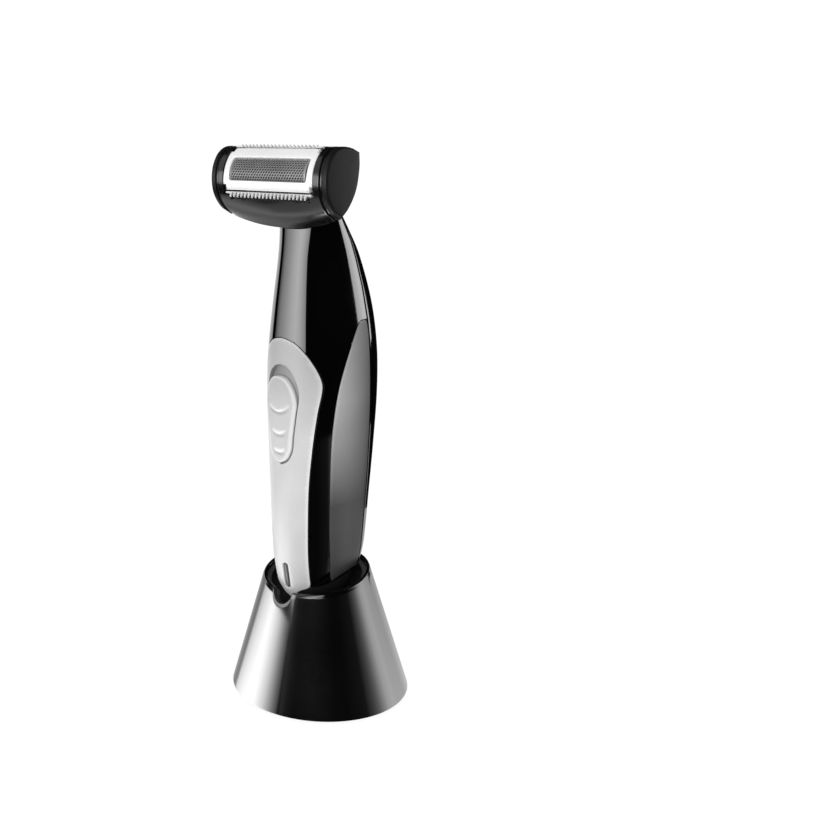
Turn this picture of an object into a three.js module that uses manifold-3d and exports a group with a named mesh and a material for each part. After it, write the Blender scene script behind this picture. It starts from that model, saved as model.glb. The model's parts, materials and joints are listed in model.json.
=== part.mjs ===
import * as THREE from 'three';
import { mergeVertices } from 'three/addons/utils/BufferGeometryUtils.js';
import Module from 'manifold-3d';

// A cordless body groomer standing in its oval stand.
// Millimetres, +Z up, the front faces -Y, the origin is the middle of the stand's footprint on the floor.

const wasm = await Module();
wasm.setup();

// ---------------------------------------------------------------- driving dimensions

const DEG = Math.PI / 180;
const GAP = 0.3; // clearance between neighbouring pieces
const FAR = 60; // reaches past the object from any point inside it

const STAND = {
  baseX: 36, // half axes of the footprint
  baseY: 30,
  rimX: 21.3, // half axes of the rim
  rimY: 17.7,
  rimShiftY: -0.35,
  rimHeight: 45.8, // at Y = 0
  rimSlope: 0.183, // the rim is lower at the front
  wall: 1.4,
  bottom: 0.6, // the shell's lower edge, held up by the feet
  notchWidth: 9,
  notchBottom: 38.2,
  socketFloor: 17,
  cavityFloor: 19.4,
};

// The cup inside the stand that takes the groomer's foot.
const CUP = { halfX: 10.2, halfY: 9.4, y: -1.2, wall: 1.4, skirt: 1.2, skirtFraction: 0.88 };

const BASE = {
  plateX: 33, // half axes of the base plate
  plateY: 27.2,
  plateLow: 0.9,
  plateHigh: 2.6,
  weightX: 24,
  weightY: 19,
  weightHigh: 12,
  footX: 19,
  footY: 15,
  footRadius: 4.5,
};

// Two screws hold the base plate and the socket together.
const SCREW = { x: 6.5, head: 2.6, shank: 1.3, bore: 1.6, boss: 3, low: 0.95, high: 12 };

const HOUSING = {
  wall: 2.4,
  skin: 1.2, // thickness of the panel and of the side inlays
  pocket: 1.5, // depth of the pockets that hold them
  footInset: 1.6,
  footBottom: 20,
  edgeHeight: 46.2, // lower edge of the housing at Y = 0
  edgeSlope: 0.22,
};

// Sections of the groomer's body, from its foot to the hump behind the head.
// half = half width, front and rear = extreme Y values, mid = Y of the widest place.
const BODY = [
  { z: 20, half: 9.6, front: -10.6, rear: 8.0, mid: -0.5 },
  { z: 30, half: 10.4, front: -12.0, rear: 9.6, mid: 0 },
  { z: 38, half: 11.3, front: -13.5, rear: 11.4, mid: 0.5 },
  { z: 43, half: 12.9, front: -14.9, rear: 13.4, mid: 0.9 },
  { z: 49, half: 14.1, front: -15.8, rear: 15.1, mid: 1.3 },
  { z: 56, half: 14.9, front: -16.3, rear: 17.2, mid: 1.9 },
  { z: 75, half: 15.4, front: -16.6, rear: 20.6, mid: 2.5 },
  { z: 93, half: 15.8, front: -16.7, rear: 23.6, mid: 3.1 },
  { z: 112, half: 16.2, front: -16.5, rear: 25.9, mid: 3.8 },
  { z: 128, half: 15.8, front: -15.5, rear: 26.4, mid: 4.0 },
  { z: 144, half: 14.0, front: -13.4, rear: 24.8, mid: 3.9 },
  { z: 161, half: 11.9, front: -10.6, rear: 19.2, mid: 3.6 },
  { z: 170, half: 11.4, front: -9.2, rear: 13.4, mid: 2.4 },
  { z: 178, half: 11.2, front: -8.6, rear: 7.0, mid: 0.4 },
  { z: 188, half: 10.8, front: -9.4, rear: -0.6, mid: -4.6 },
  { z: 196, half: 9.6, front: -10.0, rear: -4.2, mid: -7.0 },
];
const FRONT_POWER = 2.15; // superellipse powers of the front and rear halves
const REAR_POWER = 2.5;
const BODY_SIDES = 28;
const BODY_RINGS = [20, 38, 43, 49, 58, 72, 90, 108, 122, 134, 146, 158, 170, 182, 196];

// Where the head lifts off the neck: a plane that rises towards the back.
const NECK = { y: -0.3, z: 173.78, tilt: 15.64 * DEG, plugX: 8.1, plugY: 6.1, plugDepth: 4 };

const CELL = { y: 3, radius: 7, low: 50, high: 100 };
const MOTOR = { y: 4, radius: 7.4, low: 126, high: 148, throw: 1 };

// The drive pin stands on the same axis as the neck and swings across it.
const PIN = { y: -1.2, radius: 1.4, foot: -13.9, tip: 8.4, roomX: 3.1, roomY: 2.1 };

const HEAD = { ringHalf: 23.9, capHalf: 27.6, keelRise: 4.4, keelPower: 2.2 };

// The shaving cassette faces forward and up. Its own frame: x across, y up along the face, z outward.
const CASSETTE = {
  y: -4.8,
  z: 185.7,
  faceTilt: 68 * DEG,
  radius: 14.7, // outer curve of the foil frame about the cassette's origin
  frameHalf: 21,
  frameEdge: 7.4,
  windowHalf: 18.3,
  windowLow: -4.45,
  windowHigh: 3.6,
  pocketFloor: 4.5,
  pocketHalf: 21.4,
  pocketEdge: 8.8,
  cheekFrom: 18.5,
  cheekTo: 20.7,
  springX: 19.6,
};

const FOIL = { half: 3.725, radius: 6.6, crest: 14.85, foot: 11, thick: 0.4, length: 17.9 };
const COMB = { half: 18.6, teeth: 21, legTo: 20.3, legLow: 8.6, legDepth: 0.6 };
const BLADE = { half: 16.8, teeth: 13, root: 7.7, tip: 8.5, webLow: 7.3, webDepth: 0.4 };

// ---------------------------------------------------------------- materials

function finish(color, roughness, metalness) {
  return new THREE.MeshStandardMaterial({ color, roughness, metalness });
}

const LOOK = {
  pianoBlack: () => finish(0x0a0a0b, 0.12, 0),
  standBlack: () => finish(0x0b0b0c, 0.16, 0),
  mattBlack: () => finish(0x1b1b1c, 0.55, 0),
  satinSilver: () => finish(0xc4c5c6, 0.36, 0.7),
  inlayGrey: () => finish(0x6a6b6d, 0.34, 0.7),
  foilSteel: () => finish(0x9a9b9e, 0.3, 1),
  frameSilver: () => finish(0xe2e3e4, 0.28, 0.7),
  bladeSteel: () => finish(0xbfc1c4, 0.25, 1),
  window: () => finish(0x5d5f61, 0.2, 0),
  rubber: () => finish(0x202021, 0.9, 0),
  board: () => finish(0x1f5a35, 0.5, 0),
  cell: () => finish(0x2f5f9a, 0.4, 0.1),
  motor: () => finish(0xa9abae, 0.35, 1),
  nylon: () => finish(0xe4e2da, 0.5, 0),
  ballast: () => finish(0x7b7d80, 0.5, 1),
  brass: () => finish(0xc9a34a, 0.3, 1),
};

// ---------------------------------------------------------------- geometry helpers

function signedVolume(geometry) {
  const position = geometry.getAttribute('position');
  const index = geometry.getIndex();
  const [a, b, c] = [new THREE.Vector3(), new THREE.Vector3(), new THREE.Vector3()];
  let volume = 0;
  for (let i = 0; i < index.count; i += 3) {
    a.fromBufferAttribute(position, index.getX(i));
    b.fromBufferAttribute(position, index.getX(i + 1));
    c.fromBufferAttribute(position, index.getX(i + 2));
    volume += a.dot(b.cross(c)) / 6;
  }
  return volume;
}

function indexedGeometry(points, triangles) {
  const geometry = new THREE.BufferGeometry();
  geometry.setAttribute('position', new THREE.Float32BufferAttribute(points.flat(), 3));
  geometry.setIndex(triangles);
  if (signedVolume(geometry) < 0) {
    const flipped = [];
    for (let i = 0; i < triangles.length; i += 3) {
      flipped.push(triangles[i], triangles[i + 2], triangles[i + 1]);
    }
    geometry.setIndex(flipped);
  }
  return geometry;
}

// A closed skin over rings of equal point counts, with a fan at each end.
function loft(rings) {
  const sides = rings[0].length;
  const points = rings.flat();
  const triangles = [];
  for (let r = 0; r < rings.length - 1; r++) {
    for (let s = 0; s < sides; s++) {
      const a = r * sides + s;
      const b = r * sides + ((s + 1) % sides);
      triangles.push(a, b, b + sides, a, b + sides, a + sides);
    }
  }
  const ends = [rings[0], rings[rings.length - 1]];
  ends.forEach((ring, end) => {
    const start = end === 0 ? 0 : (rings.length - 1) * sides;
    const centre = points.length;
    points.push([0, 1, 2].map((axis) => ring.reduce((sum, p) => sum + p[axis], 0) / sides));
    for (let s = 0; s < sides; s++) {
      const a = start + s;
      const b = start + ((s + 1) % sides);
      triangles.push(...(end === 0 ? [b, a, centre] : [a, b, centre]));
    }
  });
  return indexedGeometry(points, triangles);
}

function solid(geometry) {
  const bare = geometry.clone();
  bare.deleteAttribute('normal');
  bare.deleteAttribute('uv');
  const merged = mergeVertices(bare, 1e-4);
  return new wasm.Manifold(
    new wasm.Mesh({
      numProp: 3,
      vertProperties: new Float32Array(merged.getAttribute('position').array),
      triVerts: new Uint32Array(merged.getIndex().array),
    }),
  );
}

function geometryOf(manifold) {
  const mesh = manifold.getMesh();
  const geometry = new THREE.BufferGeometry();
  geometry.setAttribute('position', new THREE.BufferAttribute(new Float32Array(mesh.vertProperties), 3));
  geometry.setIndex(new THREE.BufferAttribute(new Uint32Array(mesh.triVerts), 1));
  return geometry;
}

function join(...parts) {
  return parts.map(solid).reduce((sum, part) => sum.add(part));
}

// What is left of a geometry once others are kept to, then cut away.
function shape(base, { within = [], without = [] }) {
  let result = solid(base);
  for (const keeper of within) {
    result = result.intersect(solid(keeper));
  }
  for (const cutter of without) {
    result = result.subtract(solid(cutter));
  }
  return geometryOf(result);
}

function ordered(a, b) {
  return [Math.min(a, b), Math.max(a, b)];
}

function box(x0, x1, y0, y1, z0, z1) {
  const geometry = new THREE.BoxGeometry(x1 - x0, y1 - y0, z1 - z0);
  return geometry.translate((x0 + x1) / 2, (y0 + y1) / 2, (z0 + z1) / 2);
}

// An upright rod, round or oval.
function rod(x, y, radius, z0, z1, sides = 20, radiusY = radius) {
  const geometry = new THREE.CylinderGeometry(1, 1, z1 - z0, sides);
  return geometry.rotateX(90 * DEG).scale(radius, radiusY, 1).translate(x, y, (z0 + z1) / 2);
}

// A side view outline in (y, z), extruded across x.
function acrossX(points, x0, x1) {
  const outline = new THREE.Shape(points.map(([y, z]) => new THREE.Vector2(y, z)));
  const geometry = new THREE.ExtrudeGeometry(outline, { depth: x1 - x0, bevelEnabled: false });
  const basis = new THREE.Matrix4().makeBasis(
    new THREE.Vector3(0, 1, 0),
    new THREE.Vector3(0, 0, 1),
    new THREE.Vector3(1, 0, 0),
  );
  return geometry.translate(0, 0, x0).applyMatrix4(basis);
}

// A front view outline in (x, z), extruded along y.
function alongY(points, y0, y1) {
  const outline = new THREE.Shape(points.map(([x, z]) => new THREE.Vector2(x, z)));
  const geometry = new THREE.ExtrudeGeometry(outline, { depth: y1 - y0, bevelEnabled: false });
  const basis = new THREE.Matrix4().makeBasis(
    new THREE.Vector3(1, 0, 0),
    new THREE.Vector3(0, 0, 1),
    new THREE.Vector3(0, -1, 0),
  );
  return geometry.translate(0, 0, -y1).applyMatrix4(basis);
}

// A plan view outline in (x, y), extruded along z.
function alongZ(points, z0, z1) {
  const outline = new THREE.Shape(points.map(([x, y]) => new THREE.Vector2(x, y)));
  return new THREE.ExtrudeGeometry(outline, { depth: z1 - z0, bevelEnabled: false }).translate(0, 0, z0);
}

// A smooth open line through a few points, as [a, b] pairs.
function smoothLine(points, steps) {
  const curve = new THREE.CatmullRomCurve3(points.map(([a, b]) => new THREE.Vector3(a, b, 0)), false);
  return curve.getSpacedPoints(steps).map((p) => [p.x, p.y]);
}

// The right half of a symmetric outline, from top to bottom, mirrored to close it.
function mirrored(rightHalf) {
  const left = rightHalf.slice(1, -1).reverse().map(([x, z]) => [-x, z]);
  return [...rightHalf, ...left];
}

// An outline moved outward by a distance, for the pocket around an inlay.
function grown(points, distance) {
  const count = points.length;
  const turn = Math.sign(THREE.ShapeUtils.area(points.map(([a, b]) => new THREE.Vector2(a, b))));
  return points.map((point, i) => {
    const before = points[(i + count - 1) % count];
    const after = points[(i + 1) % count];
    const along = new THREE.Vector2(after[0] - before[0], after[1] - before[1]).normalize();
    return [point[0] + turn * along.y * distance, point[1] - turn * along.x * distance];
  });
}

function ellipse(halfX, halfY, sides, centreY = 0) {
  return Array.from({ length: sides }, (_, i) => {
    const angle = (i / sides) * 2 * Math.PI;
    return [halfX * Math.cos(angle), centreY + halfY * Math.sin(angle)];
  });
}

// ---------------------------------------------------------------- the groomer's body surface

// A cubic through the stations, with the slope at each one taken from its neighbours.
function sectionValue(key, z) {
  const last = BODY.length - 1;
  let i = BODY.findIndex((station) => station.z > z) - 1;
  i = i < -1 ? last - 1 : Math.max(i, 0);
  i = Math.min(i, last - 1);
  const slope = (n) => {
    const low = BODY[Math.max(n - 1, 0)];
    const high = BODY[Math.min(n + 1, last)];
    return (high[key] - low[key]) / (high.z - low.z);
  };
  const [a, b] = [BODY[i], BODY[i + 1]];
  const span = b.z - a.z;
  const t = (z - a.z) / span;
  const [t2, t3] = [t * t, t * t * t];
  return (
    (2 * t3 - 3 * t2 + 1) * a[key] +
    (t3 - 2 * t2 + t) * span * slope(i) +
    (3 * t2 - 2 * t3) * b[key] +
    (t3 - t2) * span * slope(i + 1)
  );
}

function power(value, exponent) {
  return Math.sign(value) * Math.abs(value) ** exponent;
}

function bodyRing(z, inset) {
  const half = sectionValue('half', z) - inset;
  const mid = sectionValue('mid', z);
  const front = mid - sectionValue('front', z) - inset;
  const rear = sectionValue('rear', z) - mid - inset;
  return Array.from({ length: BODY_SIDES }, (_, i) => {
    const angle = (i / BODY_SIDES) * 2 * Math.PI;
    const [cos, sin] = [Math.cos(angle), Math.sin(angle)];
    const exponent = 2 / (sin < 0 ? FRONT_POWER : REAR_POWER);
    return [half * power(cos, exponent), mid + (sin < 0 ? front : rear) * power(sin, exponent), z];
  });
}

function bodySolid(inset, from = BODY_RINGS[0], to = BODY_RINGS[BODY_RINGS.length - 1]) {
  const heights = [from, ...BODY_RINGS.filter((z) => z > from && z < to), to];
  return loft(heights.map((z) => bodyRing(z, inset)));
}

const lowerEdge = (y) => HOUSING.edgeHeight + HOUSING.edgeSlope * y;
const upperEdge = (y) => NECK.z + Math.tan(NECK.tilt) * (y - NECK.y);

// The line on the side of the body where the rear shell meets the front housing, from the bottom up.
const PARTING = [
  [7.4, 40], [8.8, 52], [10.6, 66], [12.5, 80], [13.6, 98], [14.2, 120], [14.4, 138], [13.4, 150],
  [11.6, 160], [8.6, 170], [5.4, 178],
];

function housingRegion(rear, shift) {
  const line = PARTING.map(([y, z]) => [y + shift, z]);
  const side = rear ? FAR : -FAR;
  const low = [line[0][0], lowerEdge(line[0][0])];
  const high = [line[line.length - 1][0], upperEdge(line[line.length - 1][0])];
  const inner = line.filter(([, z]) => z > low[1] + 1 && z < high[1] - 1);
  const outline = [low, ...inner, high, [side, upperEdge(side)], [side, lowerEdge(side)]];
  return acrossX(outline, -FAR, FAR);
}

// ---------------------------------------------------------------- outlines on the body

const PANEL_OUTLINE = mirrored([
  [0, 134.3], ...smoothLine([
    [2.6, 133.9], [5.8, 132.6], [9.3, 128.9], [11.8, 124.1], [13.1, 119.4], [13.2, 116.4], [12.3, 108.6],
    [10.9, 95.4], [9.7, 80.9], [9.0, 62.8], [8.7, 50], [8.5, 45.2],
  ], 17), [7.4, 43.5], [4.6, 42.2], [2.2, 40.2], [0, 39.2],
]);

const RECESS_OUTLINE = mirrored([
  [0, 125.2], [2.9, 124.5], [5.4, 121.9], [7.1, 117.9], [7.6, 114.4], [7.0, 109.6], [5.7, 99.8],
  [5.1, 94.8], [3.0, 91.1], [0, 89.6],
]);

const SWITCH_OUTLINE = mirrored([
  [0, 121.3], [2.7, 120.7], [4.9, 118.4], [6.4, 114.9], [6.9, 111.6], [6.4, 107.6], [5.2, 99.4],
  [4.6, 95.2], [2.7, 91.8], [0, 90.4],
]);
const SWITCH = { proud: 0.9, sunk: 1.1, stemHalf: 1.1, stemLow: 103, stemHigh: 107, travel: 3.2 };

const INLAY_OUTLINE = [
  [10.0, 138.6], ...smoothLine([
    [9.4, 138.2], [3.4, 129.6], [-1.9, 118.1], [-5.2, 102.2], [-6.6, 77], [-6.8, 60], [-6.0, 47.6],
  ], 12),
  [-5.4, lowerEdge(-5.4) + 0.6], [7.4, lowerEdge(7.4) + 0.6],
  [8.2, 52], [10.0, 66], [11.9, 80], [13.0, 98], [13.6, 120], [13.8, 137.4], [13.2, 138.6],
];

function windowOutline(inset) {
  const half = 1.3 - inset;
  const [low, high] = [42.9 + inset, 52.8 - inset];
  const arc = (centre, from) => Array.from({ length: 7 }, (_, i) => {
    const angle = from + (i / 6) * Math.PI;
    return [half * Math.cos(angle), centre + half * Math.sin(angle)];
  });
  return [...arc(high - half, 0), ...arc(low + half, Math.PI)];
}

// ---------------------------------------------------------------- scene graph

const groomerModel = new THREE.Group();
const neckFrame = new THREE.Group();
neckFrame.position.set(0, NECK.y, NECK.z);
neckFrame.rotation.x = NECK.tilt;
const cassetteFrame = new THREE.Group();
cassetteFrame.position.set(0, CASSETTE.y, CASSETTE.z);
cassetteFrame.rotation.x = CASSETTE.faceTilt;
groomerModel.add(neckFrame, cassetteFrame);
groomerModel.updateMatrixWorld(true);

function addPart(name, geometry, material, parent = groomerModel) {
  const mesh = new THREE.Mesh(geometry, material);
  mesh.name = name;
  parent.add(mesh);
}

// A geometry drawn in a turned group, moved to where it lies in the whole model.
function placed(geometry, group) {
  return geometry.clone().applyMatrix4(group.matrixWorld);
}

// ---------------------------------------------------------------- stand

// A point at angle and height fraction on the stand's cone, with the slanted rim at fraction 1.
function coneRing(fraction, inset, drop = 0) {
  const sides = 36;
  return Array.from({ length: sides }, (_, i) => {
    const angle = (i / sides) * 2 * Math.PI;
    const [cos, sin] = [Math.cos(angle), Math.sin(angle)];
    const mix = (low, high) => low + (high - low) * fraction;
    const x = (mix(STAND.baseX, STAND.rimX) - inset) * cos;
    const y = (mix(STAND.baseY, STAND.rimY) - inset) * sin + mix(0, STAND.rimShiftY);
    const top = STAND.rimHeight + STAND.rimSlope * (STAND.rimY * sin + STAND.rimShiftY);
    return [x, y, top * fraction - drop];
  });
}

function notchCutter() {
  const radius = STAND.notchWidth / 2;
  const centre = STAND.notchBottom + radius;
  const arc = Array.from({ length: 9 }, (_, i) => {
    const angle = Math.PI * (1 + i / 8);
    return [radius * Math.cos(angle), centre + radius * Math.sin(angle)];
  });
  return alongY([...arc, [radius, FAR], [-radius, FAR]], -FAR, 0);
}

function addStand() {
  const rims = (inset, low, high) => [coneRing(low, inset), coneRing(high, inset)];
  const floorSlab = box(-FAR, FAR, -FAR, FAR, -FAR, STAND.bottom);
  const outer = loft(rims(0, 0, 1));
  const inner = loft([coneRing(0, STAND.wall, 1), coneRing(1, STAND.wall, -1)]);
  addPart('stand_shell', shape(outer, { without: [inner, floorSlab, notchCutter()] }), LOOK.standBlack());

  // The socket hangs from the rim on a short skirt and narrows to a cup that fits the groomer's foot.
  const cupRing = (z, extra) => {
    const count = coneRing(1, 0).length;
    const [halfX, halfY] = [CUP.halfX + extra, CUP.halfY + extra];
    return Array.from({ length: count }, (_, i) => {
      const angle = (i / count) * 2 * Math.PI;
      return [halfX * Math.cos(angle), CUP.y + halfY * Math.sin(angle), z];
    });
  };
  const skin = STAND.wall + GAP;
  const cupOuter = loft([
    cupRing(STAND.socketFloor, CUP.wall),
    cupRing(26, 1.2 + CUP.wall),
    coneRing(CUP.skirtFraction, skin),
    coneRing(1, skin, 0.7),
  ]);
  const cupInner = loft([
    cupRing(STAND.cavityFloor, 0),
    cupRing(27, 1.2),
    coneRing(CUP.skirtFraction, skin + CUP.skirt),
    coneRing(1, skin + CUP.skirt, -1),
  ]);
  const screwPlaces = [-SCREW.x, SCREW.x];
  const bosses = screwPlaces.map((x) => rod(x, 0, SCREW.boss, BASE.plateHigh + 0.4, STAND.socketFloor + 1));
  const bores = screwPlaces.map((x) => rod(x, 0, SCREW.bore, BASE.plateHigh, SCREW.high + 2, 12));
  const cup = join(cupOuter, ...bosses);
  const socket = shape(geometryOf(cup), { without: [cupInner, notchCutter(), ...bores] });
  addPart('stand_socket', socket, LOOK.mattBlack());

  const plate = alongZ(ellipse(BASE.plateX, BASE.plateY, 32), BASE.plateLow, BASE.plateHigh);
  const holes = screwPlaces.flatMap((x) => [
    rod(x, 0, SCREW.shank + 0.4, 0, BASE.plateHigh + 1, 12),
    rod(x, 0, SCREW.head + 0.4, 0, 1.8, 16),
  ]);
  addPart('stand_base_plate', shape(plate, { without: holes }), LOOK.mattBlack());

  const weight = alongZ(ellipse(BASE.weightX, BASE.weightY, 28), BASE.plateHigh + GAP, BASE.weightHigh);
  const weightHoles = screwPlaces.map((x) => rod(x, 0, SCREW.boss + 0.4, 0, BASE.weightHigh + 1));
  addPart('stand_weight', shape(weight, { without: weightHoles }), LOOK.ballast());

  for (const [rowName, y] of [['front', -BASE.footY], ['rear', BASE.footY]]) {
    for (const [sideName, x] of [['left', -BASE.footX], ['right', BASE.footX]]) {
      const foot = rod(x, y, BASE.footRadius, 0, STAND.bottom, 16);
      addPart(`stand_foot_${rowName}_${sideName}`, foot, LOOK.rubber());
    }
  }

  for (const [sideName, x] of [['left', -SCREW.x], ['right', SCREW.x]]) {
    const head = rod(x, 0, SCREW.head, SCREW.low, SCREW.low + 0.55, 12);
    const shank = rod(x, 0, SCREW.shank, SCREW.low + 0.25, SCREW.high, 12);
    addPart(`stand_screw_${sideName}`, geometryOf(join(head, shank)), LOOK.bladeSteel());
  }
}

// ---------------------------------------------------------------- body shells

function addShells() {
  const outside = bodySolid(0);
  const inside = bodySolid(HOUSING.wall);
  const underPocket = bodySolid(HOUSING.pocket);
  const front = [-FAR, 0];

  // Pockets: the outer layer of the housing inside a slightly larger outline.
  const panelPocket = shape(alongY(grown(PANEL_OUTLINE, GAP), ...front), { without: [underPocket] });
  const recessHole = alongY(grown(RECESS_OUTLINE, 1.4), ...front);
  const inlayPocket = (side) => shape(
    acrossX(grown(INLAY_OUTLINE, GAP), side < 0 ? -FAR : 1, side < 0 ? -1 : FAR),
    { without: [underPocket] },
  );
  addPart('front_housing', shape(outside, {
    within: [housingRegion(false, -GAP / 2)],
    without: [inside, panelPocket, recessHole, inlayPocket(-1), inlayPocket(1)],
  }), LOOK.pianoBlack());

  addPart('rear_shell', shape(outside, {
    within: [housingRegion(true, GAP / 2)],
    without: [inside],
  }), LOOK.pianoBlack());

  // The panel is a thin skin with a sunk tray for the switch.
  const skinCore = bodySolid(HOUSING.skin);
  const skin = solid(outside).intersect(solid(alongY(PANEL_OUTLINE, ...front))).subtract(solid(skinCore));
  const trayFloor = SWITCH.sunk + GAP;
  const tray = solid(outside)
    .intersect(solid(alongY(grown(RECESS_OUTLINE, 1.0), ...front)))
    .subtract(solid(bodySolid(trayFloor + 0.8)));
  const hollow = solid(alongY(RECESS_OUTLINE, ...front)).subtract(solid(bodySolid(trayFloor)));
  const stemSlot = box(
    -SWITCH.stemHalf - GAP, SWITCH.stemHalf + GAP, -FAR, 0,
    SWITCH.stemLow - GAP, SWITCH.stemHigh + SWITCH.travel + GAP,
  );
  const panel = skin.add(tray).subtract(hollow).subtract(solid(stemSlot))
    .subtract(solid(alongY(windowOutline(0), ...front)));
  addPart('front_panel', geometryOf(panel), LOOK.satinSilver());

  for (const [name, from, to] of [['side_inlay_left', -FAR, -1], ['side_inlay_right', 1, FAR]]) {
    const inlay = shape(outside, { within: [acrossX(INLAY_OUTLINE, from, to)], without: [skinCore] });
    addPart(name, inlay, LOOK.inlayGrey());
  }

  const lens = shape(bodySolid(0.15), {
    within: [alongY(windowOutline(GAP), ...front)],
    without: [skinCore],
  });
  addPart('charge_window', lens, LOOK.window());
}

function addFoot() {
  const below = acrossX([
    [-FAR, -FAR], [FAR, -FAR], [FAR, lowerEdge(FAR) - GAP], [-FAR, lowerEdge(-FAR) - GAP],
  ], -FAR, FAR);
  const inletY = -1;
  const foot = shape(bodySolid(HOUSING.footInset, HOUSING.footBottom, 56), {
    within: [below],
    without: [rod(0, inletY, 3.5, 0, 31)],
  });
  addPart('groomer_foot', foot, LOOK.mattBlack());

  const sleeve = solid(rod(0, inletY, 3.2, HOUSING.footBottom + 0.4, 30.7));
  const bore = solid(rod(0, inletY, 2.3, 0, 29.5, 20));
  const pin = solid(rod(0, inletY, 0.7, HOUSING.footBottom + 1.4, 30, 10));
  addPart('inlet_socket', geometryOf(sleeve.subtract(bore).add(pin)), LOOK.bladeSteel());
}

// ---------------------------------------------------------------- switch

function addSwitch() {
  const crown = bodySolid(-SWITCH.proud);
  const slab = solid(crown)
    .intersect(solid(alongY(SWITCH_OUTLINE, -FAR, 0)))
    .subtract(solid(bodySolid(SWITCH.sunk)));
  const stem = solid(box(
    -SWITCH.stemHalf, SWITCH.stemHalf, -16, -11.4, SWITCH.stemLow, SWITCH.stemHigh,
  ));
  // Three raised ridges shaped like shallow smiles, the top one the widest.
  const ridges = [[110.6, 4.6], [102.8, 3.4], [96.0, 2.6]].map(([z, half]) => {
    const sag = half * 0.3;
    const edge = (lift) => smoothLine([[-half, z + sag + lift], [0, z + lift], [half, z + sag + lift]], 8);
    const band = alongY([...edge(0), ...edge(0.9).reverse()], -FAR, 0);
    return solid(bodySolid(-SWITCH.proud - 0.4)).intersect(solid(band)).subtract(solid(bodySolid(0.5)));
  });
  const slider = ridges.reduce((sum, ridge) => sum.add(ridge), slab.add(stem));
  addPart('switch_slider', geometryOf(slider), LOOK.satinSilver());
  addPart('switch_contact', box(-3, 3, -11.1, -10.3, 102, 108), LOOK.brass());
}

// ---------------------------------------------------------------- inner works of the handle

function addInnerWorks() {
  addPart('battery', rod(0, CELL.y, CELL.radius, CELL.low, CELL.high, 24), LOOK.cell());
  const contact = (low) => box(-4, 4, CELL.y - 3, CELL.y + 3, low, low + 0.5);
  addPart('battery_contact_lower', contact(CELL.low - GAP - 0.5), LOOK.bladeSteel());
  addPart('battery_contact_upper', contact(CELL.high + GAP), LOOK.bladeSteel());
  addPart('circuit_board', box(-8, 8, -9.2, -7.8, 52, 118), LOOK.board());

  const topPlate = MOTOR.high + 0.5;
  const thick = 1.2;
  const rails = [-9.8, 8.6].map((x) => box(x, x + thick, -2, 8, CELL.low, topPlate + thick));
  const plates = [101.6, 124.2, topPlate].map((low) => box(-9.2, 9.2, -2, 8, low, low + thick));
  const shaftHole = rod(0, MOTOR.y, 2.2, MOTOR.high - 1, MOTOR.high + 5);
  const chassis = join(...rails, ...plates).subtract(solid(shaftHole));
  addPart('chassis', geometryOf(chassis), LOOK.mattBlack());
  addPart('motor_can', rod(0, MOTOR.y, MOTOR.radius, MOTOR.low, MOTOR.high, 24), LOOK.motor());

  // The shaft carries a disc with an eccentric stub.
  const shaft = join(
    rod(0, MOTOR.y, 1, 148.4, 151, 14),
    rod(0, MOTOR.y, 3, 150.2, 151.6, 20),
    rod(0, MOTOR.y + MOTOR.throw, 0.9, 151, 155, 12),
  );
  addPart('motor_shaft', geometryOf(shaft), LOOK.bladeSteel());

  // The bridge slides from side to side on the eccentric and carries the drive pin through the neck.
  const slot = solid(box(-3.3, 3.3, MOTOR.y - 3.3, MOTOR.y + 3.3, 150, 155.4));
  const boss = placed(rod(0, PIN.y, 2.6, -18, PIN.foot - GAP), neckFrame);
  const bridge = join(box(-7, 7, -2.2, 9.2, 152.4, 157), boss).subtract(slot);
  addPart('drive_bridge', geometryOf(bridge), LOOK.nylon());
  addPart('drive_pin', rod(0, PIN.y, PIN.radius, PIN.foot, PIN.tip, 16), LOOK.bladeSteel(), neckFrame);

  const pinSlot = rod(0, PIN.y, PIN.roomX, -9, 0, 20, PIN.roomY);
  const deck = alongZ(ellipse(NECK.plugX, NECK.plugY, 32), -7.2, -5.8);
  addPart('neck_deck', shape(deck, { without: [pinSlot] }), LOOK.mattBlack(), neckFrame);
  const seal = alongZ(ellipse(5.2, 3.9, 28, PIN.y), -5.5, -4.4);
  addPart('neck_seal', shape(seal, { without: [pinSlot] }), LOOK.rubber(), neckFrame);
}

// ---------------------------------------------------------------- head shell

// The head's outline in (y, z) at a place across its width. The keel is lowest at the middle.
function headRing(x, inset = 0) {
  const out = Math.min(Math.abs(x) / HEAD.capHalf, 1);
  const mix = (middle, end) => middle + (end - middle) * out ** 1.5;
  const keel = [mix(-10.8, -12.5), 171.2 + HEAD.keelRise * out ** HEAD.keelPower];
  const front = smoothLine([
    keel, [mix(-16.2, -15.9), mix(175.6, 177.7)], [-18.7, 181.9], [-19.4, 186.6], [-18.5, 191.6],
    [-15.9, 195.8], [-12.3, 197.8], [-7.2, 197.6], [-3.4, 196.2],
  ], 16);
  const rear = smoothLine([
    [-3.4, 196.2], [-3.4, 191.5], [-5.2, 184.2], [mix(-7.4, -8.9), mix(176.6, 178.6)], keel,
  ], 8);
  const outline = [...front, ...rear.slice(1, -1)];
  return grown(outline, -inset).map(([y, z]) => [x, y, z]);
}

function ringsAcross(x0, x1, steps, inset = 0) {
  return Array.from({ length: steps + 1 }, (_, i) => headRing(x0 + ((x1 - x0) * i) / steps, inset));
}

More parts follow.
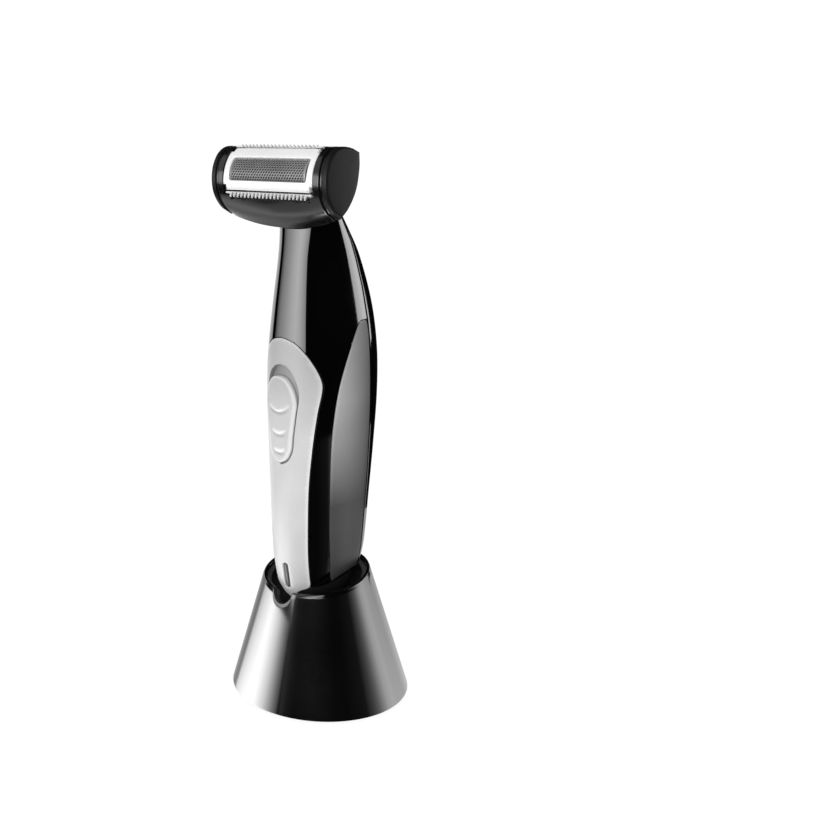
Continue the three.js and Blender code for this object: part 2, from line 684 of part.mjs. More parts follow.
function addHeadShell() {
  const bar = loft(ringsAcross(-HEAD.ringHalf, HEAD.ringHalf, 10));
  const above = acrossX([
    [-FAR, upperEdge(-FAR) + GAP], [FAR, upperEdge(FAR) + GAP], [FAR, 4 * FAR], [-FAR, 4 * FAR],
  ], -FAR, FAR);
  const hump = shape(bodySolid(0, 162), { within: [above] });
  const plug = placed(alongZ(ellipse(NECK.plugX, NECK.plugY, 32), -NECK.plugDepth, 4), neckFrame);
  const plugBore = placed(alongZ(ellipse(6.3, 4.6, 28, -0.4), -NECK.plugDepth - 1, 5.5), neckFrame);
  const pinRoom = placed(rod(0, PIN.y, PIN.roomX, 0, PIN.tip + 1, 20, PIN.roomY), neckFrame);
  const c = CASSETTE;
  const pocket = box(-c.pocketHalf, c.pocketHalf, -c.pocketEdge, c.pocketEdge, c.pocketFloor, FAR);
  const combRoom = box(-COMB.half - GAP, COMB.half + GAP, -9.9, -c.pocketEdge + GAP, 10.0, FAR);
  const forkRoom = box(-6.6, 6.6, -5.6, 0.3, -6.2, c.pocketFloor + 1);
  const wells = [-c.springX, c.springX].map((x) => rod(x, 0, 1.7, 1.4, c.pocketFloor + 1, 16));
  const cutters = [pocket, combRoom, forkRoom, ...wells].map((cutter) => placed(cutter, cassetteFrame));
  const whole = geometryOf(join(bar, hump, plug));
  addPart('head_shell', shape(whole, { without: [plugBore, pinRoom, ...cutters] }), LOOK.pianoBlack());

  for (const [side, name] of [[-1, 'left'], [1, 'right']]) {
    const ringFrom = HEAD.ringHalf + GAP;
    const ring = loft([headRing(side * ringFrom, 0.35), headRing(side * (ringFrom + 0.7), 0.35)]);
    addPart(`trim_ring_${name}`, ring, LOOK.pianoBlack());
    const capFrom = ringFrom + 0.7 + GAP;
    const cap = loft([
      headRing(side * capFrom, 0),
      headRing(side * (HEAD.capHalf - 0.5), 0),
      headRing(side * HEAD.capHalf, 0.5),
    ]);
    addPart(`end_cap_${name}`, cap, LOOK.mattBlack());
  }
}

// ---------------------------------------------------------------- shaving cassette

function arcPoints(radius, centreY, centreZ, from, to, steps) {
  return Array.from({ length: steps + 1 }, (_, i) => {
    const angle = from + ((to - from) * i) / steps;
    return [centreY + radius * Math.sin(angle), centreZ + radius * Math.cos(angle)];
  });
}

function arcBand(outer, inner, edge, centreY = 0, centreZ = 0, steps = 10) {
  const outerAngle = Math.asin(edge / outer);
  const innerAngle = Math.asin(edge / inner);
  return [
    ...arcPoints(outer, centreY, centreZ, -outerAngle, outerAngle, steps),
    ...arcPoints(inner, centreY, centreZ, innerAngle, -innerAngle, steps),
  ];
}

// A plate in x and y with a row of teeth along one edge, extruded along z.
function toothedPlate(half, root, tip, count, z0, z1) {
  const base = root + (tip - root) * 0.35;
  const pitch = (2 * half) / count;
  const points = [[-half, root], [-half, base]];
  for (let i = 0; i < count; i++) {
    const centre = -half + pitch * (i + 0.5);
    const [wide, narrow] = [pitch * 0.28, pitch * 0.16];
    points.push([centre - wide, base], [centre - narrow, tip]);
    points.push([centre + narrow, tip], [centre + wide, base]);
  }
  points.push([half, base], [half, root]);
  return alongZ(points, z0, z1);
}

function addCassette() {
  const c = CASSETTE;
  const inner = c.radius - 1.6;
  const window = box(-c.windowHalf, c.windowHalf, c.windowLow, c.windowHigh, 0, FAR);
  const arc = acrossX(arcBand(c.radius, inner, c.frameEdge), -c.frameHalf, c.frameHalf);
  const frame = shape(arc, { without: [window] });
  addPart('foil_frame', frame, LOOK.frameSilver(), cassetteFrame);

  // The foil is a thin arch with straight skirts, open at both ends.
  const windowMiddle = (c.windowLow + c.windowHigh) / 2;
  const archOutline = (inset, foot) => {
    const [half, radius] = [FOIL.half - inset, FOIL.radius - inset];
    const angle = Math.asin(half / radius);
    const arch = arcPoints(radius, windowMiddle, FOIL.crest - FOIL.radius, -angle, angle, 12);
    return [[windowMiddle - half, foot], ...arch, [windowMiddle + half, foot]];
  };
  const arch = acrossX(archOutline(0, FOIL.foot), -FOIL.length, FOIL.length);
  const hollow = acrossX(archOutline(FOIL.thick, FOIL.foot - 1), -FOIL.length - 1, FOIL.length + 1);
  addPart('foil', shape(arch, { without: [hollow] }), LOOK.foilSteel(), cassetteFrame);

  const cheekRadius = inner - GAP;
  const cheekEdge = c.frameEdge - 0.2;
  const cheekAngle = Math.asin(cheekEdge / cheekRadius);
  const cheek = [
    ...arcPoints(cheekRadius, 0, 0, -cheekAngle, cheekAngle, 10), [cheekEdge, 6.5], [-cheekEdge, 6.5],
  ];
  addPart('cassette_cheek_left', acrossX(cheek, -c.cheekTo, -c.cheekFrom), LOOK.mattBlack(), cassetteFrame);
  addPart('cassette_cheek_right', acrossX(cheek, c.cheekFrom, c.cheekTo), LOOK.mattBlack(), cassetteFrame);

  const combs = [
    { name: 'upper_comb', root: 7.7, tip: 8.8, z0: 12.0, z1: 12.6 },
    { name: 'lower_comb', root: -7.7, tip: -9.6, z0: 11.5, z1: 12.1 },
  ];
  for (const comb of combs) {
    const side = Math.sign(comb.root);
    const plate = solid(toothedPlate(COMB.half, comb.root, comb.tip, COMB.teeth, comb.z0, comb.z1));
    const legs = [-1, 1].map((end) => {
      const [x0, x1] = ordered(end * (COMB.half - 0.4), end * COMB.legTo);
      const [y0, y1] = ordered(comb.root, comb.root + side * COMB.legDepth);
      return solid(box(x0, x1, y0, y1, COMB.legLow, comb.z1));
    });
    addPart(comb.name, geometryOf(plate.add(legs[0]).add(legs[1])), LOOK.bladeSteel(), cassetteFrame);
  }

  const blades = [
    { name: 'upper_blade', side: 1, z0: 11.1, z1: 11.6 },
    { name: 'lower_blade', side: -1, z0: 10.6, z1: 11.1 },
  ];
  for (const blade of blades) {
    const [root, tip] = [blade.side * BLADE.root, blade.side * BLADE.tip];
    const teeth = solid(toothedPlate(BLADE.half, root, tip, BLADE.teeth, blade.z0, blade.z1));
    const [y0, y1] = ordered(root, root + blade.side * BLADE.webDepth);
    const web = solid(box(-BLADE.half, BLADE.half, y0, y1, BLADE.webLow, blade.z0 + 0.2));
    addPart(blade.name, geometryOf(teeth.add(web)), LOOK.bladeSteel(), cassetteFrame);
  }

  // The cutter block under the foil, and the carrier whose fork straddles the drive pin.
  const block = acrossX(archOutline(FOIL.thick + 0.35, 8.5), -16.6, 16.6);
  addPart('cutter_block', block, LOOK.bladeSteel(), cassetteFrame);
  const prongs = [-1, 1].map((side) => {
    const [x0, x1] = ordered(side * 2.0, side * 3.8);
    return box(x0, x1, -5.0, -0.6, -4.4, 6.4);
  });
  const carrier = join(
    box(-16.4, 16.4, -8.1, 8.1, 6.0, 7.0),
    box(-15, 15, -2.8, 2.0, 6.5, 8.2),
    ...prongs,
  );
  addPart('cutter_carrier', geometryOf(carrier), LOOK.nylon(), cassetteFrame);

  for (const [name, x] of [['float_spring_left', -c.springX], ['float_spring_right', c.springX]]) {
    addPart(name, coil(x, 1.0, 1.9, 4.7, 3), LOOK.bladeSteel(), cassetteFrame);
  }
}

function coil(x, radius, low, high, turns) {
  const wire = 0.25;
  const steps = turns * 8;
  const points = Array.from({ length: steps + 1 }, (_, i) => {
    const angle = (i / 8) * 2 * Math.PI;
    const z = low + wire + ((high - low - 2 * wire) * i) / steps;
    return new THREE.Vector3(x + radius * Math.cos(angle), radius * Math.sin(angle), z);
  });
  const path = new THREE.CatmullRomCurve3(points);
  const section = new THREE.Shape(ellipse(wire, wire, 5).map(([a, b]) => new THREE.Vector2(a, b)));
  return new THREE.ExtrudeGeometry(section, { steps, extrudePath: path, bevelEnabled: false });
}

// ---------------------------------------------------------------- assembly

addStand();
addShells();
addFoot();
addSwitch();
addInnerWorks();
addHeadShell();
addCassette();

export default groomerModel;
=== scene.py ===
import json
import math

import bpy
import numpy as np
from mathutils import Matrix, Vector
from mathutils.geometry import delaunay_2d_cdt


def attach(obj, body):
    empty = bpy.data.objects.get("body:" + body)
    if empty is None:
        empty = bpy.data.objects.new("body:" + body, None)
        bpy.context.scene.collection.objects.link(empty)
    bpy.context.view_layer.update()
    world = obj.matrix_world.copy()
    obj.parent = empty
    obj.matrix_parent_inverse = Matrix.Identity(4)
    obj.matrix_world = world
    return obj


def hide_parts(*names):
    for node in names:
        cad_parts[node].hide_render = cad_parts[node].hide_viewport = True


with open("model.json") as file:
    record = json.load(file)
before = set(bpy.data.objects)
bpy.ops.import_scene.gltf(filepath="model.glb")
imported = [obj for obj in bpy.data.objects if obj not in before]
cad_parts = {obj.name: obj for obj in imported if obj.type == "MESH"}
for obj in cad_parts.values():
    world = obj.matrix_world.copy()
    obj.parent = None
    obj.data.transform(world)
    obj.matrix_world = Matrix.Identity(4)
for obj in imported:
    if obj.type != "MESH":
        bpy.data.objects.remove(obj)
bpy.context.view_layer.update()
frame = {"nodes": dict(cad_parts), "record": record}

MM = 0.001
GAP = 0.3
ROOM, ROOM_GLOW, FLOOR_GLOW, WORLD_GLOW = 3000.0, 1.05, 0.9, 0.004

# The camera: place in metres, turn to the right of the line to the origin and tilt down in degrees, lens in mm.
CAMERA_PLACE, CAMERA_TURN, CAMERA_TILT = (0.27896, -0.27896, 0.2010), 5.553, 14.09
LENS, SENSOR = 48.38, 36.0

# What the gloss shows: soft lights on circles round the object. Each has a name, a radius, azimuths from and to,
# heights from and to, then pairs of azimuth and brightness. Degrees, with 0 in front of the object, and millimetres.
LIGHT_WALLS = [
    ("light_near_left", 90, -150, -12, -150, 36,
     [(-150, 0.4), (-100, 0.7), (-86, 0.7), (-80, 0.9), (-76, 3.2), (-68, 5.5), (-56, 9.8), (-46, 14.6), (-38, 13.5),
      (-29, 10.0), (-23, 6.0), (-18, 3.0), (-12, 0.6)]),
    ("light_near_right", 110, -12, 158, -150, 72,
     [(-12, 0.4), (-5, 0.1), (2, 0.02), (60, 0.02), (84, 0.1), (94, 0.8), (101, 1.7), (109, 3.6), (117, 5.5),
      (127, 5.6), (137, 4.2), (158, 2.2)]),
    ("light_near_edge", 110, 158, 225, -150, 32, [(158, 2.2), (190, 0.9), (225, 0.4)]),
    ("light_below", 1000, -130, -40, -1040, -300,
     [(-130, 0.3), (-105, 0.55), (-96, 0.6), (-83, 0.85), (-74, 1.3), (-66, 1.4), (-60, 0.7), (-40, 0.6)]),
    ("light_front", 1000, -68, 33, 100, 420,
     [(-68, 0.5), (-46, 3.8), (-30, 6.0), (-15, 8.0), (2, 9.4), (16, 7.8), (33, 4.4)]),
    ("light_top", 1000, -74, 30, 430, 1200, [(-74, 0.7), (30, 0.7)]),
    ("light_left", 1000, -150, -85, -500, 500, [(-150, 0.4), (-110, 1.4), (-85, 1.8)]),
    ("light_right", 1000, 143, 170, 40, 420, [(143, 5.4), (155, 6.2), (170, 3.5)]),
]

# ---------------------------------------------------------------- shape of the object, in millimetres

STAND = dict(base_x=36.0, base_y=30.0, rim_x=21.3, rim_y=17.7, shift=-0.35, height=45.8, slope=0.183,
             wall=1.4, bottom=0.6, notch=4.5, notch_mid=42.7)
NECK_Y, NECK_Z, NECK_TILT = -0.3, 173.78, math.radians(15.64)
FACE_Y, FACE_Z, FACE_TILT = -4.8, 185.7, math.radians(68)
FRONT_POWER, REAR_POWER = 2.15, 2.5
FOOT_Z, FOOT_INSET, TOP_Z = 20, 1.6, 196

# The head bar: its half length, the cassette's pocket (half length, half height, floor), and the lower comb's room.
BAR_HALF, POCKET_HALF, POCKET_REACH, POCKET_FLOOR = 23.9, 21.4, 8.8, 4.5
COMB_ROOM_HALF, COMB_ROOM_LOW, COMB_ROOM_FLOOR = 18.9, -9.9, 10
RING_AT, CAP_AT, CAP_FLAT = 23.95, 25.2, 27.45

# height, half width, front, rear, Y of the widest place
BODY = np.array([
    (20, 9.6, -10.6, 8.0, -0.5), (30, 10.4, -12.0, 9.6, 0), (38, 11.3, -13.5, 11.4, 0.5),
    (43, 12.9, -14.9, 13.4, 0.9), (49, 14.1, -15.8, 15.1, 1.3), (56, 14.9, -16.3, 17.2, 1.9),
    (75, 15.4, -16.6, 20.6, 2.5), (93, 15.8, -16.7, 23.6, 3.1), (112, 16.2, -16.5, 25.9, 3.8),
    (128, 15.8, -15.5, 26.4, 4.0), (144, 14.0, -13.4, 24.8, 3.9), (161, 11.9, -10.6, 19.2, 3.6),
    (170, 11.4, -9.2, 13.4, 2.4), (178, 11.2, -8.6, 7.0, 0.4), (188, 10.8, -9.4, -0.6, -4.6),
    (196, 9.6, -10.0, -4.2, -7.0)])

PARTING = [(7.4, 40), (8.8, 52), (10.6, 66), (12.5, 80), (13.6, 98), (14.2, 120), (14.4, 138), (13.4, 150),
           (11.6, 160), (8.6, 170), (5.4, 178)]


def joined(*columns):
    """Points from their coordinates, any of which may be one number."""
    return np.stack(np.broadcast_arrays(*columns), -1)


def section(z):
    """Half width, front, rear and middle of the body at heights z: a cubic through the stations."""
    z = np.asarray(z, float)
    knots, values = BODY[:, 0], BODY[:, 1:]
    i = np.clip(np.searchsorted(knots, z, side="right") - 1, 0, len(knots) - 2)
    low = np.maximum(np.arange(len(knots)) - 1, 0)
    high = np.minimum(np.arange(len(knots)) + 1, len(knots) - 1)
    slopes = (values[high] - values[low]) / (knots[high] - knots[low])[:, None]
    span = (knots[i + 1] - knots[i])[..., None]
    t = (z - knots[i])[..., None] / span
    return np.moveaxis(cubic(t, values[i], span * slopes[i], values[i + 1], span * slopes[i + 1]), -1, 0)


def cubic(t, start, leaving, end, arriving):
    """The curve from start to end with a given direction at each, at shares t."""
    return ((2 * t**3 - 3 * t**2 + 1) * start + (t**3 - 2 * t**2 + t) * leaving
            + (3 * t**2 - 2 * t**3) * end + (t**3 - t**2) * arriving)


def signed_power(value, exponent):
    return np.sign(value) * np.abs(value) ** exponent


def body_point(angle, z, inset=0.0):
    half, front, rear, mid = section(z)
    cos, sin = np.cos(angle), np.sin(angle)
    exponent = np.where(sin < 0, 2 / FRONT_POWER, 2 / REAR_POWER)
    reach = np.where(sin < 0, mid - front - inset, rear - mid - inset)
    x = (half - inset) * signed_power(cos, exponent)
    y = mid + reach * signed_power(sin, exponent)
    return joined(x, y, z)


def front_point(x, z):
    """The body surface straight behind a place in the front view."""
    half, front, _, mid = section(z)
    share = np.clip(1 - np.abs(x / half) ** FRONT_POWER, 0, 1)
    return joined(x, mid - (mid - front) * share ** (1 / FRONT_POWER), z)


def side_point(y, z, side):
    """The body surface at a place in the side view."""
    half, front, rear, mid = section(z)
    is_front = y < mid
    power = np.where(is_front, FRONT_POWER, REAR_POWER)
    reach = np.where(is_front, mid - front, rear - mid)
    share = np.clip(1 - np.abs((y - mid) / reach) ** power, 0, 1)
    return joined(side * half * share ** (1 / power), y, z)


def lower_edge(y):
    return 46.2 + 0.22 * y


def upper_edge(y):
    return NECK_Z + math.tan(NECK_TILT) * (y - NECK_Y)


def smooth_line(points, steps):
    """Evenly spaced points on a centripetal Catmull-Rom curve through a few points."""
    p = np.array(points, float)
    p = np.vstack([2 * p[0] - p[1], p, 2 * p[-1] - p[-2]])
    dense = []
    for i in range(1, len(p) - 2):
        a, b, c, d = p[i - 1:i + 3]
        d0, d1, d2 = (max(np.linalg.norm(step) ** 0.5, 1e-4) for step in (b - a, c - b, d - c))
        m1 = ((b - a) / d0 - (c - a) / (d0 + d1) + (c - b) / d1) * d1
        m2 = ((c - b) / d1 - (d - b) / (d1 + d2) + (d - c) / d2) * d1
        t = np.linspace(0, 1, 40)[:, None]
        dense.append(cubic(t, b, m1, c, m2))
    return resampled(np.vstack(dense), steps + 1)


def resampled(line, count):
    line = np.asarray(line, float)
    length = np.concatenate([[0], np.cumsum(np.linalg.norm(np.diff(line, axis=0), axis=1))])
    wanted = np.linspace(0, length[-1], count)
    return np.stack([np.interp(wanted, length, line[:, k]) for k in range(line.shape[1])], -1)


def mirrored(right):
    right = np.array(right, float)
    left = right[1:-1][::-1] * [-1, 1]
    return np.vstack([right, left])


PANEL = mirrored(np.vstack([
    smooth_line([(0, 134.3), (2.6, 133.9), (5.8, 132.6), (9.3, 128.9), (11.8, 124.1), (13.1, 119.4), (13.2, 116.4),
                 (12.3, 108.6), (10.9, 95.4), (9.7, 80.9), (9.0, 62.8), (8.7, 50), (8.5, 45.2)], 90),
    smooth_line([(8.2, 44.2), (7.4, 43.5), (4.6, 42.2), (2.2, 40.2), (0, 39.2)], 14)]))
RECESS = mirrored(smooth_line([(0, 125.2), (2.9, 124.5), (5.4, 121.9), (7.1, 117.9), (7.6, 114.4), (7.0, 109.6),
                               (5.7, 99.8), (5.1, 94.8), (3.0, 91.1), (0, 89.6)], 60))
SWITCH = mirrored(smooth_line([(0, 121.3), (2.7, 120.7), (4.9, 118.4), (6.4, 114.9), (6.9, 111.6), (6.4, 107.6),
                               (5.2, 99.4), (4.6, 95.2), (2.7, 91.8), (0, 90.4)], 60))
INLAY = np.vstack([
    smooth_line([(10.0, 138.6), (9.4, 138.2), (3.4, 129.6), (-1.9, 118.1), (-5.2, 102.2), (-6.6, 77), (-6.8, 60),
                 (-6.0, 47.6), (-5.4, lower_edge(-5.4) + 0.6)], 110),
    smooth_line([(7.4, lower_edge(7.4) + 0.6), (8.2, 52), (10.0, 66), (11.9, 80), (13.0, 98), (13.6, 120),
                 (13.8, 137.4), (13.2, 138.6)], 100)])


def stadium(half, low, high, steps=8):
    arc = np.linspace(0, math.pi, steps)
    top = np.stack([half * np.cos(arc), high - half + half * np.sin(arc)], -1)
    bottom = np.stack([-half * np.cos(arc), low + half - half * np.sin(arc)], -1)
    return np.vstack([top, bottom])


WINDOW = stadium(1.3, 42.9, 52.8)


def tilted(points, tilt, origin_y, origin_z):
    x, y, z = np.moveaxis(np.asarray(points, float), -1, 0)
    c, s = math.cos(tilt), math.sin(tilt)
    return joined(x, origin_y + y * c - z * s, origin_z + y * s + z * c)


def in_neck(points):
    """From the neck's tilted frame to the object's."""
    return tilted(points, NECK_TILT, NECK_Y, NECK_Z)


def in_face(points):
    """From the cassette's frame (x across, y up the face, z outward) to the object's."""
    return tilted(points, FACE_TILT, FACE_Y, FACE_Z)


# ---------------------------------------------------------------- mesh building


class Builder:
    """Collects vertices and faces, in millimetres, for one piece."""

    def __init__(self):
        self.points, self.faces, self.count = [], [], 0

    def add(self, points):
        points = np.asarray(points, float).reshape(-1, 3)
        first = self.count
        self.points.append(points)
        self.count += len(points)
        return first

    def grid(self, points, close_rows=False, close_cols=False, flip=False):
        rows, cols = points.shape[:2]
        first = self.add(points)
        index = first + np.arange(rows * cols).reshape(rows, cols)
        if close_rows:
            index = np.vstack([index, index[:1]])
        if close_cols:
            index = np.hstack([index, index[:, :1]])
        quads = np.stack([index[:-1, :-1], index[:-1, 1:], index[1:, 1:], index[1:, :-1]], -1).reshape(-1, 4)
        if flip:
            quads = quads[:, ::-1]
        self.faces.extend(map(tuple, quads.tolist()))
        return index

    def fan(self, ring, flip=False):
        points = np.vstack(self.points)[list(ring)]
        centre = self.add(points.mean(0))
        for a, b in zip(ring, list(ring[1:]) + [ring[0]]):
            self.faces.append((b, a, centre) if flip else (a, b, centre))

    def tube(self, rings, flip=False):
        """A closed body through rings, from the first one's fan to the last one's."""
        index = self.grid(np.array(rings), close_cols=True, flip=flip)
        self.fan(list(index[0, :-1]), flip=not flip)
        self.fan(list(index[-1, :-1]), flip=flip)

    def object(self, name, material, sharp=math.radians(40)):
        mesh = bpy.data.meshes.new(name)
        mesh.from_pydata((np.vstack(self.points) * MM).tolist(), [], self.faces)
        mesh.validate()
        mesh.polygons.foreach_set("use_smooth", [True] * len(mesh.polygons))
        mesh.set_sharp_from_angle(angle=sharp)
        mesh.materials.append(material)
        piece = bpy.data.objects.new(name, mesh)
        bpy.context.collection.objects.link(piece)
        return piece


def unit(vectors):
    return vectors / np.maximum(np.linalg.norm(vectors, axis=-1, keepdims=True), 1e-9)


def normals_of(points):
    return unit(np.cross(np.gradient(points, axis=1), np.gradient(points, axis=0)))


def turns_left(outline):
    """1 if a closed outline runs anticlockwise, -1 if it runs clockwise."""
    after = np.roll(outline, -1, 0)
    return np.sign(np.sum(outline[:, 0] * after[:, 1] - after[:, 0] * outline[:, 1]))


def offset_outline(outline, distance):
    """Moves a closed outline inward by a distance, whichever way round it runs."""
    along = unit(np.roll(outline, -1, 0) - np.roll(outline, 1, 0))
    return outline + turns_left(outline) * distance * np.stack([-along[:, 1], along[:, 0]], -1)


def inside(points, outline):
    x, y = points[:, 0:1], points[:, 1:2]
    a, b = outline, np.roll(outline, -1, 0)
    crosses = (a[None, :, 1] > y) != (b[None, :, 1] > y)
    rise = b[None, :, 1] - a[None, :, 1]
    at = a[None, :, 0] + (y - a[None, :, 1]) * (b[None, :, 0] - a[None, :, 0]) / np.where(rise == 0, 1, rise)
    return (np.sum(crosses & (x < at), axis=1) % 2) == 1


def nearest_on(points, outline):
    """The nearest place on a closed outline to each point."""
    best = np.full(len(points), 1e9)
    place = np.zeros_like(points)
    for p, q in zip(outline, np.roll(outline, -1, 0)):
        d = q - p
        t = np.clip(((points - p) @ d) / max(d @ d, 1e-12), 0, 1)
        foot = p + t[:, None] * d
        gap = np.linalg.norm(points - foot, axis=1)
        closer = gap < best
        best[closer] = gap[closer]
        place[closer] = foot[closer]
    return place, best


def distance_to(points, outline):
    return nearest_on(points, outline)[1]


def round_edge(radius, wall, steps=4):
    """Offsets from an outline and depths under the surface: up the wall, over a round edge."""
    turn = np.linspace(0, math.pi / 2, steps + 1)
    profile = [(radius * (1 - math.cos(a)), radius * (1 - math.sin(a))) for a in turn]
    return [(0.0, wall)] + profile


def patch(build, outline, lift, profile, spacing, holes=(), flip=False, shift=None):
    """A skin over an outline: edge rings from a profile, then a net of triangles over the middle.
    lift(points, depth) puts plane points on the surface. holes are (outline, profile) pairs, where the
    profile runs outward from the hole's edge. shift(points) raises the surface over the middle."""

    def raised(points, depth):
        depths = np.full(len(points), depth, float)
        return lift(points, depths if shift is None else depths - shift(points))

    def stack(edge, steps, sign):
        """Adds the rings at an edge. Gives the last ring in the plane and its vertices."""
        edge = edge if turns_left(edge) > 0 else edge[::-1]
        rings = [offset_outline(edge, sign * offset) for offset, _ in steps]
        rows = np.array([raised(ring, depth) for ring, (_, depth) in zip(rings, steps)])
        index = build.grid(rows, close_cols=True, flip=(sign < 0) != flip)
        return rings[-1], index[-1, :-1]

    loops = [stack(outline, profile, 1)] + [stack(hole, steps, -1) for hole, steps in holes]
    edge, hole_edges = loops[0][0], [ring for ring, _ in loops[1:]]
    low, high = edge.min(0), edge.max(0)
    xs = np.arange(low[0], high[0] + spacing, spacing)
    ys = np.arange(low[1], high[1] + spacing, spacing * 0.87)
    net = np.array([(x + (spacing / 2 if j % 2 else 0), y) for j, y in enumerate(ys) for x in xs])
    keep = inside(net, edge) & (distance_to(net, edge) > spacing * 0.5)
    for hole_edge in hole_edges:
        keep &= ~inside(net, hole_edge) & (distance_to(net, hole_edge) > spacing * 0.5)
    net = net[keep]
    flat, lines, index = [], [], []
    for ring, ring_index in loops:
        start = len(flat)
        flat.extend(ring.tolist())
        index.extend(ring_index.tolist())
        lines.extend((start + i, start + (i + 1) % len(ring)) for i in range(len(ring)))
    first = build.add(raised(net, 0.0))
    index.extend(range(first, first + len(net)))
    flat.extend(net.tolist())
    verts, _, faces, origins, _, _ = delaunay_2d_cdt([Vector(p) for p in flat], lines, [], 0, 1e-7)
    source = [index[o[0]] if o else None for o in origins]
    corners = np.array([(v.x, v.y) for v in verts])
    centres = np.array([corners[list(f)].mean(0) for f in faces])
    keep = inside(centres, edge)
    for hole_edge in hole_edges:
        keep &= ~inside(centres, hole_edge)
    for face, good in zip(faces, keep):
        ids = [source[i] for i in face]
        if good and None not in ids:
            clockwise = turns_left(corners[list(face[:3])]) < 0
            build.faces.append(tuple(ids[::-1] if clockwise != flip else ids))


def lift_along(surface):
    """A lift for patch() that goes down along the true normal of a surface(a, b)."""
    def lift(points, depth):
        a, b = points[:, 0], points[:, 1]
        h = 0.02
        here = surface(a, b)
        du = surface(a + h, b) - surface(a - h, b)
        dv = surface(a, b + h) - surface(a, b - h)
        return here - unit(np.cross(du, dv)) * np.asarray(depth)[:, None]
    return lift


# ---------------------------------------------------------------- materials

MOTTLE, GRAIN_DEPTH = 60.0, 0.00002

def new_material(name):
    material = bpy.data.materials.new(name)
    material.use_nodes = True
    nodes = material.node_tree.nodes
    return material, nodes, material.node_tree.links, nodes["Principled BSDF"]


def scaled_noise(nodes, links, scale, detail=3.0, stretch=(1, 1, 1)):
    coords = nodes.new("ShaderNodeTexCoord")
    mapping = nodes.new("ShaderNodeMapping")
    mapping.inputs["Scale"].default_value = stretch
    noise = nodes.new("ShaderNodeTexNoise")
    noise.inputs["Scale"].default_value = scale
    noise.inputs["Detail"].default_value = detail
    links.new(coords.outputs["Object"], mapping.inputs["Vector"])
    links.new(mapping.outputs["Vector"], noise.inputs["Vector"])
    return noise


def ramp_between(nodes, links, source, low, high, start=0.3, stop=0.7):
    ramp = nodes.new("ShaderNodeValToRGB")
    ramp.color_ramp.elements[0].position = start
    ramp.color_ramp.elements[1].position = stop
    ramp.color_ramp.elements[0].color = (*low, 1)
    ramp.color_ramp.elements[1].color = (*high, 1)
    links.new(source, ramp.inputs["Fac"])
    return ramp.outputs["Color"]


def add_bump(nodes, links, shader, source, strength, distance):
    bump = nodes.new("ShaderNodeBump")
    bump.inputs["Strength"].default_value = strength
    bump.inputs["Distance"].default_value = distance
    links.new(source, bump.inputs["Height"])
    links.new(bump.outputs["Normal"], shader.inputs["Normal"])


def scaled_colour(nodes, links, colour, factor):
    scaled = nodes.new("ShaderNodeVectorMath")
    scaled.operation = "SCALE"
    links.new(colour, scaled.inputs[0])
    links.new(factor, scaled.inputs["Scale"])
    return scaled.outputs["Vector"]


def surface_material(name, low, high, rough, metallic=0.0, specular=0.5, grain=900.0, grain_strength=0.05,
                     stretch=(1, 1, 1), painted_light_fades=(), with_painted_light=False):
    """A surface whose colour and gloss drift slightly, with a fine grain. Each fade is painted light: it darkens or
    lightens the colour along one axis of the piece as painted shade or a painted reflection: axis, from and to in
    millimetres, factor from and to. A surface with painted light is also lighter or darker by the piece's own painted
    light attribute, which holds its painted highlights and painted shade."""
    material, nodes, links, shader = new_material(name)
    shader.inputs["Metallic"].default_value = metallic
    shader.inputs["Specular IOR Level"].default_value = specular
    drift = scaled_noise(nodes, links, MOTTLE)
    colour = ramp_between(nodes, links, drift.outputs["Fac"], low, high)
    # each fade multiplies the colour by a painted shade or painted light gradient
    for axis, start, stop, first, last in painted_light_fades:
        coords = nodes.new("ShaderNodeTexCoord")
        parts = nodes.new("ShaderNodeSeparateXYZ")
        links.new(coords.outputs["Object"], parts.inputs[0])
        span = nodes.new("ShaderNodeMapRange")
        for label, value in (("From Min", start * MM), ("From Max", stop * MM), ("To Min", first), ("To Max", last)):
            span.inputs[label].default_value = value
        links.new(parts.outputs[axis], span.inputs["Value"])
        colour = scaled_colour(nodes, links, colour, span.outputs["Result"])
    if with_painted_light:
        # painted highlights and painted shade, stored on the piece's points, scale the colour
        painted_light = nodes.new("ShaderNodeAttribute")
        painted_light.attribute_name = "painted_light"
        factor = nodes.new("ShaderNodeMath")
        factor.inputs[1].default_value = 1.0
        links.new(painted_light.outputs["Fac"], factor.inputs[0])
        colour = scaled_colour(nodes, links, colour, factor.outputs[0])
    links.new(colour, shader.inputs["Base Color"])
    gloss = ramp_between(nodes, links, drift.outputs["Fac"], (rough[0],) * 3, (rough[1],) * 3)
    links.new(gloss, shader.inputs["Roughness"])
    fine = scaled_noise(nodes, links, grain, 2.0, stretch)
    add_bump(nodes, links, shader, fine.outputs["Fac"], grain_strength, GRAIN_DEPTH)
    return material


